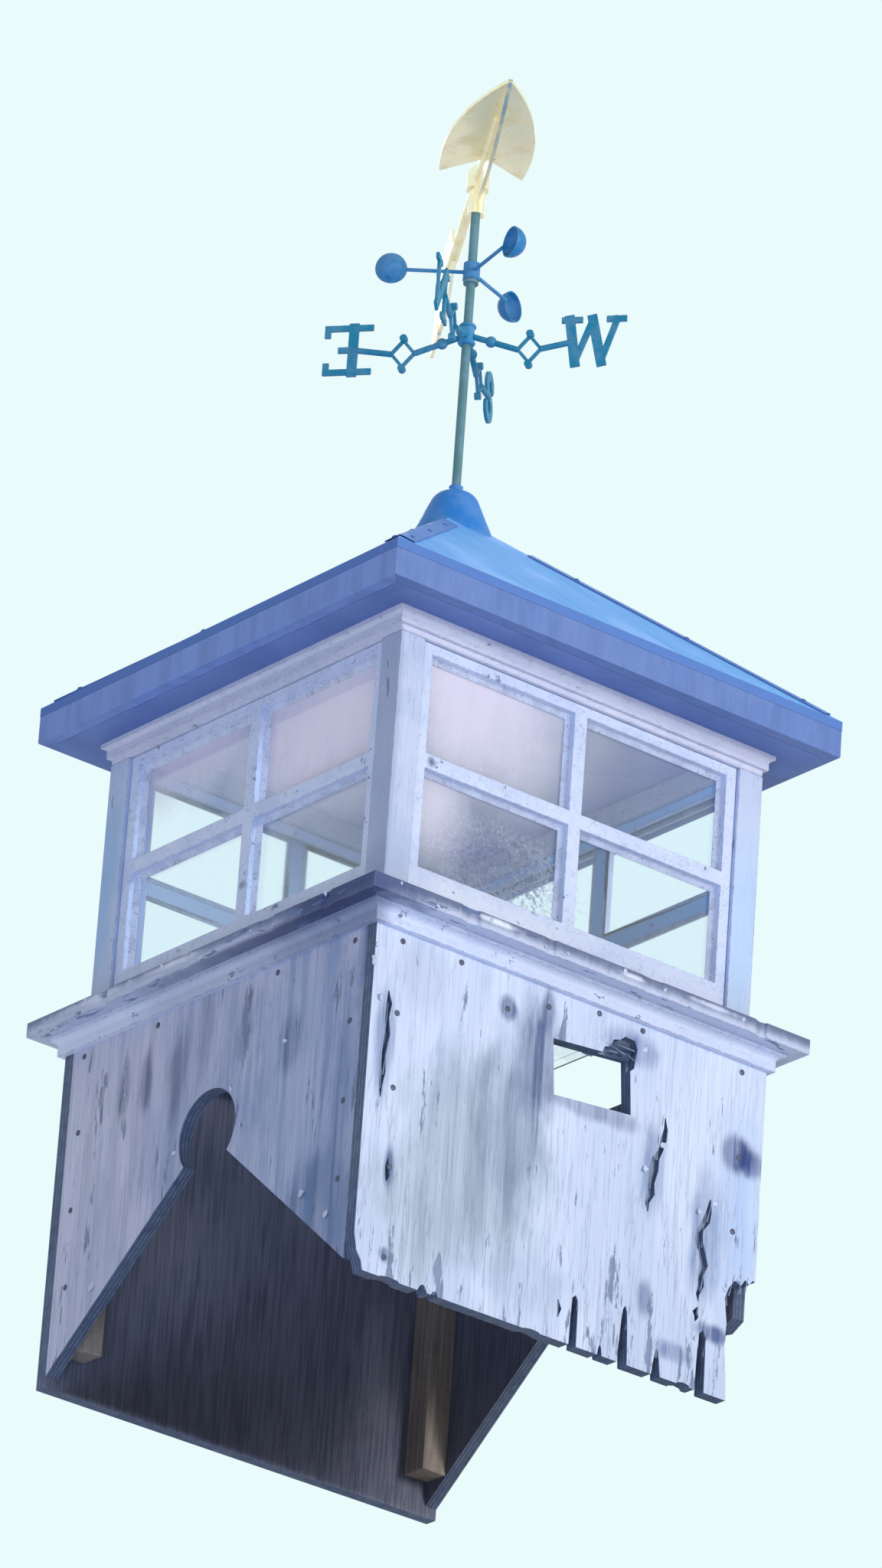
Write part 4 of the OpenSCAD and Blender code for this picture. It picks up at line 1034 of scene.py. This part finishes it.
def makePuttyFrame(paneWide, paneHigh, width, height, edge):
    deselectAll()
    bpy.ops.mesh.primitive_plane_add(size=1)
    fillet = startShaping("puttyFrame")
    bpy.ops.transform.resize(value=(paneWide, paneHigh, 1))
    chooseWhole()
    bpy.ops.mesh.inset(thickness=width)
    chooseParts(fillet, "FACE", lambda face, middle: middle.length < 0.1 * mm)
    bpy.ops.mesh.delete(type="FACE")
    chooseWhole()
    bpy.ops.mesh.extrude_region_move(TRANSFORM_OT_translate={"value": (0, 0, height)})
    innerWide = paneWide / 2 - 0.9 * width
    innerHigh = paneHigh / 2 - 0.9 * width
    chooseParts(fillet, "VERT", lambda vertex, middle: (
        middle.z > 0.5 * height and abs(middle.x) < innerWide and abs(middle.y) < innerHigh))
    bpy.ops.transform.translate(value=(0, 0, edge - height))
    chooseWhole()
    bpy.ops.mesh.normals_make_consistent(inside=False)
    setMode("OBJECT")
    return fillet


def puttyTheWindows(across, rows, glassFace, **bead):
    fillet = makePuttyFrame(**bead)
    for sideName, turn in (("front", 0), ("right", 90), ("back", 180), ("left", -90)):
        copies = []
        for along in (-across, across):
            for row in rows:
                copies.append(placedCopy(fillet, onSide(turn, along, row, glassFace)))
                if sideName == "right" and row == rows[0]:
                    # The lower strip fell out with the rotted rail
                    setMode("EDIT")
                    chooseWhole()
                    low = row * mm - bead["paneHigh"] / 2 + bead["width"]
                    bpy.ops.mesh.bisect(
                        plane_co=(0, 0, low), plane_no=(0, 0, 1), clear_inner=True, use_fill=True)
                    setMode("OBJECT")
        gather(copies, "putty_" + sideName, windowPutty)
    discard(fillet)


puttyTheWindows(**puttyShape)
print("windows puttied")

# Folded strips cover the joints of the roof sheets along the four hips
hipShape = {
    "half": 20 * mm, "sheet": 1.0 * mm, "start": 74 * mm, "end": 352 * mm,
    "eaveHalf": 364 * mm, "eaveLevel": 933 * mm, "rise": 284 * mm, "clear": 0.4 * mm,
    "foldRound": 2.5 * mm, "rim": 1.2 * mm,
}
screwShape = {
    "washer": 4.2 * mm, "head": 2.6 * mm, "sheet": 0.6 * mm, "tall": 0.9 * mm,
    "along": (-0.34, 0.03, 0.42), "out": 0.62,  # shares of the strip's length and of its half width
}


def foldHips(half, sheet, start, end, eaveHalf, eaveLevel, rise, clear, foldRound, rim):
    down = Vector((-eaveHalf, -eaveHalf, -rise)).normalized()
    frontNormal = Vector((0, -rise, eaveHalf)).normalized()
    sideNormal = Vector((-rise, 0, eaveHalf)).normalized()
    up = (frontNormal + sideNormal).normalized()
    across = up.cross(down)
    fold = math.acos(frontNormal.dot(up))
    length = (end - start) * math.sqrt(2 + (rise / eaveHalf) ** 2)
    deselectAll()
    bpy.ops.mesh.primitive_plane_add(size=1)
    strip = startShaping("hipStrip")
    bpy.ops.transform.resize(value=(length, 2 * half, 1))
    chooseWhole()
    bpy.ops.mesh.bisect(plane_co=(0, 0, 0), plane_no=(0, 1, 0))
    for sign in (-1, 1):
        chooseParts(strip, "VERT", lambda vertex, middle: middle.y * sign > 0.5 * half)
        bpy.ops.transform.translate(value=(0, -sign * half * (1 - math.cos(fold)), -half * math.sin(fold)))
    chooseParts(strip, "EDGE", lambda edge, middle: abs(middle.y) < 0.1 * mm and abs(middle.x) < 0.1 * length)
    bpy.ops.mesh.bevel(offset=foldRound, segments=3, affect="EDGES")
    # The rims turn down against the roof
    chooseParts(strip, "EDGE", lambda edge, middle: (
        abs(middle.x) < 0.1 * length and abs(middle.y) > 0.9 * half * math.cos(fold)))
    bpy.ops.mesh.extrude_region_move(TRANSFORM_OT_translate={"value": (0, 0, -rim)})
    setMode("OBJECT")
    thicken(strip, sheet)
    setMode("EDIT")
    chooseWhole()
    bpy.ops.mesh.normals_make_consistent(inside=False)
    setMode("OBJECT")
    middle = (start + end) / 2
    centre = Vector((-middle, -middle, eaveLevel + rise - middle * rise / eaveHalf))
    axes = axesAt(down, across, up, centre + up * (clear + rim))
    copies = [placedCopy(strip, turned(turn) @ axes) for turn in quarterTurns]
    discard(strip)
    gather(copies, "hip_strips", slopeSidesShaded)
    return axes, length, fold


hipAxes, hipLength, hipFold = foldHips(**hipShape)


def driveRoofScrews(washer, head, sheet, tall, along, out):
    deselectAll()
    bpy.ops.mesh.primitive_cylinder_add(vertices=12, radius=washer, depth=sheet)
    screw = startShaping("roofScrew")
    chooseParts(screw, "FACE", lambda face, middle: middle.z > 0.4 * sheet)
    bpy.ops.mesh.inset(thickness=washer - head)
    bpy.ops.mesh.extrude_region_move(TRANSFORM_OT_translate={"value": (0, 0, tall)})
    bpy.ops.mesh.inset(thickness=0.3 * head)
    bpy.ops.transform.translate(value=(0, 0, 0.3 * tall))
    setMode("OBJECT")
    bpy.ops.object.shade_smooth_by_angle(angle=math.radians(40))
    copies = []
    for turn in quarterTurns:
        for sign in (-1, 1):
            slope = Matrix.Rotation(-sign * hipFold, 4, "X") @ Matrix.Translation((
                0, sign * out * hipShape["half"], hipShape["sheet"] + 0.4 * sheet))
            for share in along:
                local = Matrix.Translation((share * hipLength, 0, 0)) @ slope
                copies.append(placedCopy(screw, turned(turn) @ hipAxes @ local))
    discard(screw)
    gather(copies, "roof_screws", slopeSidesShaded)


driveRoofScrews(**screwShape)
print("hips folded and screwed")

# Pale studio: an even sky and a floor of pale matt paint
studioLook = {
    "ambient": 0.46,
    "backdrop": "#EAFBFC",
    "floor": "#E8EFF2",
    "floorShade": "#E2EAEE",
    "floorSize": 80.0,
    "floorDrop": 0.0004,  # keeps it clear of the lowest edges
    "floorPatch": 900.0,  # mm
    "floorGlow": 0.55,  # share of the floor's own paleness that the eye sees
    "shadedHalf": 0.29,  # half the width of the dark shaft inside the skirt
}


def paleWorld(look):
    world = bpy.data.worlds.new("paleStudio")
    scene.world = world
    world.use_nodes = True
    tree = world.node_tree
    tree.nodes.clear()
    rays = addNode(tree, "LightPath").node.outputs
    ambient = addNode(tree, "Background", {"Color": "#FFFFFF", "Strength": look["ambient"]})
    backdrop = addNode(tree, "Background", {"Color": look["backdrop"], "Strength": 1.0})
    both = addNode(tree, "MixShader", {0: seenByEye(tree, rays), 1: ambient, 2: backdrop})
    addNode(tree, "OutputWorld", {"Surface": both})


def paleFloorPaint(tree, look):
    patches = blotches(tree, look["floorPatch"], 0.3, 0.7, 3.0)
    clouded = layers(tree, look["floor"], [(patches, look["floorShade"], 0.4)])
    matt = addNode(tree, "BsdfDiffuse", {"Color": clouded})
    # The eye is below the floor, so the floor's underside lets it look up, and
    # sky light comes up through it except into the skirt
    clear = addNode(tree, "BsdfTransparent")
    under = addNode(tree, "NewGeometry", out="Backfacing")
    rays = addNode(tree, "LightPath").node.outputs
    beside = addNode(tree, "Math", {"operation": "GREATER_THAN", 0: fromRod(tree), 1: look["shadedHalf"]})
    skyRay = addNode(tree, "Math", {
        "operation": "MAXIMUM", 0: rays["Is Diffuse Ray"], 1: rays["Is Shadow Ray"]})
    lit = addNode(tree, "Math", {"operation": "MULTIPLY", 0: beside, 1: skyRay})
    letsThrough = addNode(tree, "Math", {"operation": "MAXIMUM", 0: under, 1: lit})
    # The floor looks paler than it is lit, and throws no more light for that
    glow = addNode(tree, "Emission", {"Color": look["floor"], "Strength": 1.0})
    seen = addNode(tree, "Math", {"operation": "MULTIPLY", 0: seenByEye(tree, rays), 1: look["floorGlow"]})
    pale = addNode(tree, "MixShader", {0: seen, 1: matt, 2: glow})
    return addNode(tree, "MixShader", {0: letsThrough, 1: pale, 2: clear})


def paleFloor(look):
    deselectAll()
    bpy.ops.mesh.primitive_plane_add(size=look["floorSize"], location=(0, 0, -look["floorDrop"]))
    floor = bpy.context.active_object
    floor.name = "studioFloor"
    fixPlace(floor)
    material = newFinish("paleFloorPaint", paleFloorPaint, look)
    material.cycles.emission_sampling = "NONE"
    floor.data.materials.append(material)


# One large soft lamp from the front right, a weak one from behind, and blue sky
# light thrown up from below
lamps = {
    # Its narrow spread keeps it off the floor below it
    "keyLamp": {"place": (2.4, -7.4, 1.9), "size": 2.6, "power": 46.0, "spread": 70.0},
    "backLamp": {"place": (4.5, 6.5, 6.0), "size": 4.0, "power": 260.0},
    "bounceLamp": {"place": (-4.8, -4.2, -3.4), "size": 5.0, "power": 220.0, "colour": "#BCD8FF"},
}
lampAim = Vector((0.0, 0.0, 0.8))


def softLamp(name, place, size, power, colour="#FFFFFF", spread=180.0):
    deselectAll()
    bpy.ops.object.light_add(type="AREA", location=place)
    lamp = bpy.context.active_object
    lamp.name = name
    lamp.rotation_euler = (lampAim - Vector(place)).to_track_quat("-Z", "Y").to_euler()
    lamp.data.shape = "DISK"
    lamp.data.size = size
    lamp.data.energy = power
    lamp.data.spread = math.radians(spread)
    lamp.data.color = toLinear(colour)[:3]
    lamp.visible_camera = False
    lamp.visible_transmission = False


paleWorld(studioLook)
paleFloor(studioLook)
for lampName, settings in lamps.items():
    softLamp(lampName, **settings)
scene.view_settings.view_transform = "Standard"
print("studio set")

deselectAll()
